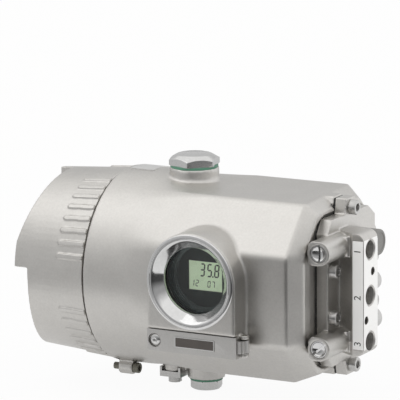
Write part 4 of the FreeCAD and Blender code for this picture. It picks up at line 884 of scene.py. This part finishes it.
def seen_directly(graph, camera_share, mirror_share):
    """How much of a white backdrop a ray sees: camera rays, and rays from metal and glass."""
    rays = graph.add("ShaderNodeLightPath", output="Is Camera Ray")
    glossy, transmitted = (Signal(graph, rays.socket.node.outputs[name])
                           for name in ("Is Glossy Ray", "Is Transmission Ray"))
    return (rays * camera_share + (glossy + transmitted) * mirror_share).at_most(1.0)


world = bpy.data.worlds.new("studio")
bpy.context.scene.world = world
world.use_nodes = True
w = Graph(world.node_tree)
level = seen_directly(w, 1.0, 1.0) * (1.0 - ROOM_LEVEL) + ROOM_LEVEL
background = w.add("ShaderNodeBackground", {"Color": ROOM_WHITE, "Strength": level})
w.add("ShaderNodeOutputWorld", {"Surface": background})

half = FLOOR_SIZE / 2
floor_mesh = bpy.data.meshes.new("floor")
floor_mesh.from_pydata([(-half, -half, FLOOR_Z), (half, -half, FLOOR_Z), (half, half, FLOOR_Z),
                        (-half, half, FLOOR_Z)], [], [(0, 1, 2, 3)])
floor = new_object("floor", floor_mesh)
floor_material, g = new_material("pale_floor")
matt = g.add("ShaderNodeBsdfDiffuse", {"Color": grey(FLOOR_GREY)})
glow = g.add("ShaderNodeEmission", {"Color": grey(1.0), "Strength": 1.0})
share = seen_directly(g, FLOOR_TO_CAMERA, FLOOR_TO_METAL)
close_material(g, g.add("ShaderNodeMixShader", {0: share, 1: matt, 2: glow}))
finish_with(floor, floor_material)

# %% Grey card
CARD_X, CARD_Y, CARD_RADIUS, CARD_FOOT, CARD_TOP = -0.03, -0.07, 0.36, 0.27, 0.40
CARD_BOTTOM, CARD_STEPS = FLOOR_Z + 0.001, 48
FRONT_RIGHT, BEHIND_RIGHT = (0.6, -0.8, 0.0), (0.74, 0.67, 0.0)
# From the far side (0) to the front right (1): how light the card is.
CARD_LEVELS = [(0.35, 0.60), (0.45, 0.58), (0.68, 0.55), (0.82, 0.38), (0.93, 0.09), (1.0, 0.05)]
# The card gets lighter between the heights of LIFT and fades out between those of FADE, which
# rise behind the object. It turns white where its direction agrees with BEHIND_RIGHT.
LIFT, LIFT_LEVEL, MOST_LIFT = (-0.03, 0.05), 0.66, 0.55
FADE, RISE_BEHIND = (0.10, 0.24), 0.6
TURNS_WHITE = (0.70, 0.95)


def vector_math(graph, operation, *operands, output=0):
    return graph.add("ShaderNodeVectorMath", dict(enumerate(operands)), output=output,
                     operation=operation)


def ramp_up(graph, value, start, end, most=1.0):
    """0 below the start and the most above the end, in a straight line between them."""
    return graph.add("ShaderNodeMapRange", {0: value, 1: start, 2: end, 3: 0.0, 4: most})


rows = [[(CARD_X + radius * math.cos(2 * math.pi * k / CARD_STEPS),
          CARD_Y + radius * math.sin(2 * math.pi * k / CARD_STEPS), z) for k in range(CARD_STEPS)]
        for radius, z in ((CARD_FOOT, CARD_BOTTOM), (CARD_RADIUS, CARD_BOTTOM),
                          (CARD_RADIUS, CARD_TOP))]
faces = []
for start in (0, CARD_STEPS):
    for k in range(CARD_STEPS):
        a, b = start + k, start + (k + 1) % CARD_STEPS
        faces.append((a, b, b + CARD_STEPS, a + CARD_STEPS))
card_mesh = bpy.data.meshes.new("grey_card")
card_mesh.from_pydata(sum(rows, []), [], faces)
card = new_object("grey_card", card_mesh)
card_material, g = new_material("grey_card")
where = g.add("ShaderNodeTexCoord", output=3)
outward = vector_math(g, "SUBTRACT", where, (CARD_X, CARD_Y, 0.0))
split = g.add("ShaderNodeSeparateXYZ", {0: outward})
along_y, along_z = (Signal(g, socket) for socket in split.socket.node.outputs[1:])
direction = vector_math(g, "NORMALIZE", vector_math(g, "MULTIPLY", outward, (1.0, 1.0, 0.0)))
towards = vector_math(g, "DOT_PRODUCT", direction, FRONT_RIGHT, output=1)
shade = g.add("ShaderNodeValToRGB", {0: towards * 0.5 + 0.5},
              ramp=[(place, grey(level)) for place, level in CARD_LEVELS])
shade = mix_colour(g, ramp_up(g, along_z, *LIFT, MOST_LIFT), shade, grey(LIFT_LEVEL))
behind = vector_math(g, "DOT_PRODUCT", direction, BEHIND_RIGHT, output=1)
shade = mix_colour(g, ramp_up(g, behind, *TURNS_WHITE), shade, grey(1.0))
fade = ramp_up(g, along_z - along_y.at_least(0.0) * RISE_BEHIND, *FADE)
grey_light = g.add("ShaderNodeEmission", {"Color": shade})
clear = g.add("ShaderNodeBsdfTransparent")
close_material(g, g.add("ShaderNodeMixShader", {0: fade, 1: grey_light, 2: clear}))
finish_with(card, card_material)
card.visible_camera = card.visible_diffuse = card.visible_shadow = False


# %% Lamps
def soft_lamp(name, place, width, height, watts):
    """A rectangular soft light that looks at the object."""
    data = bpy.data.lights.new(name, "AREA")
    data.shape, data.size, data.size_y, data.energy = "RECTANGLE", width, height, watts
    lamp = new_object(name, data)
    lamp.location = place
    lamp.rotation_mode = "QUATERNION"
    to_object = Vector((CARD_X, CARD_Y, 0.0)) - lamp.location
    lamp.rotation_quaternion = to_object.to_track_quat("-Z", "Y")


soft_lamp("soft_light_above", (-0.75, -0.45, 1.30), width=1.1, height=0.9, watts=1.2)
soft_lamp("soft_light_left", (-1.5, -0.9, 0.35), width=0.35, height=1.0, watts=0.7)
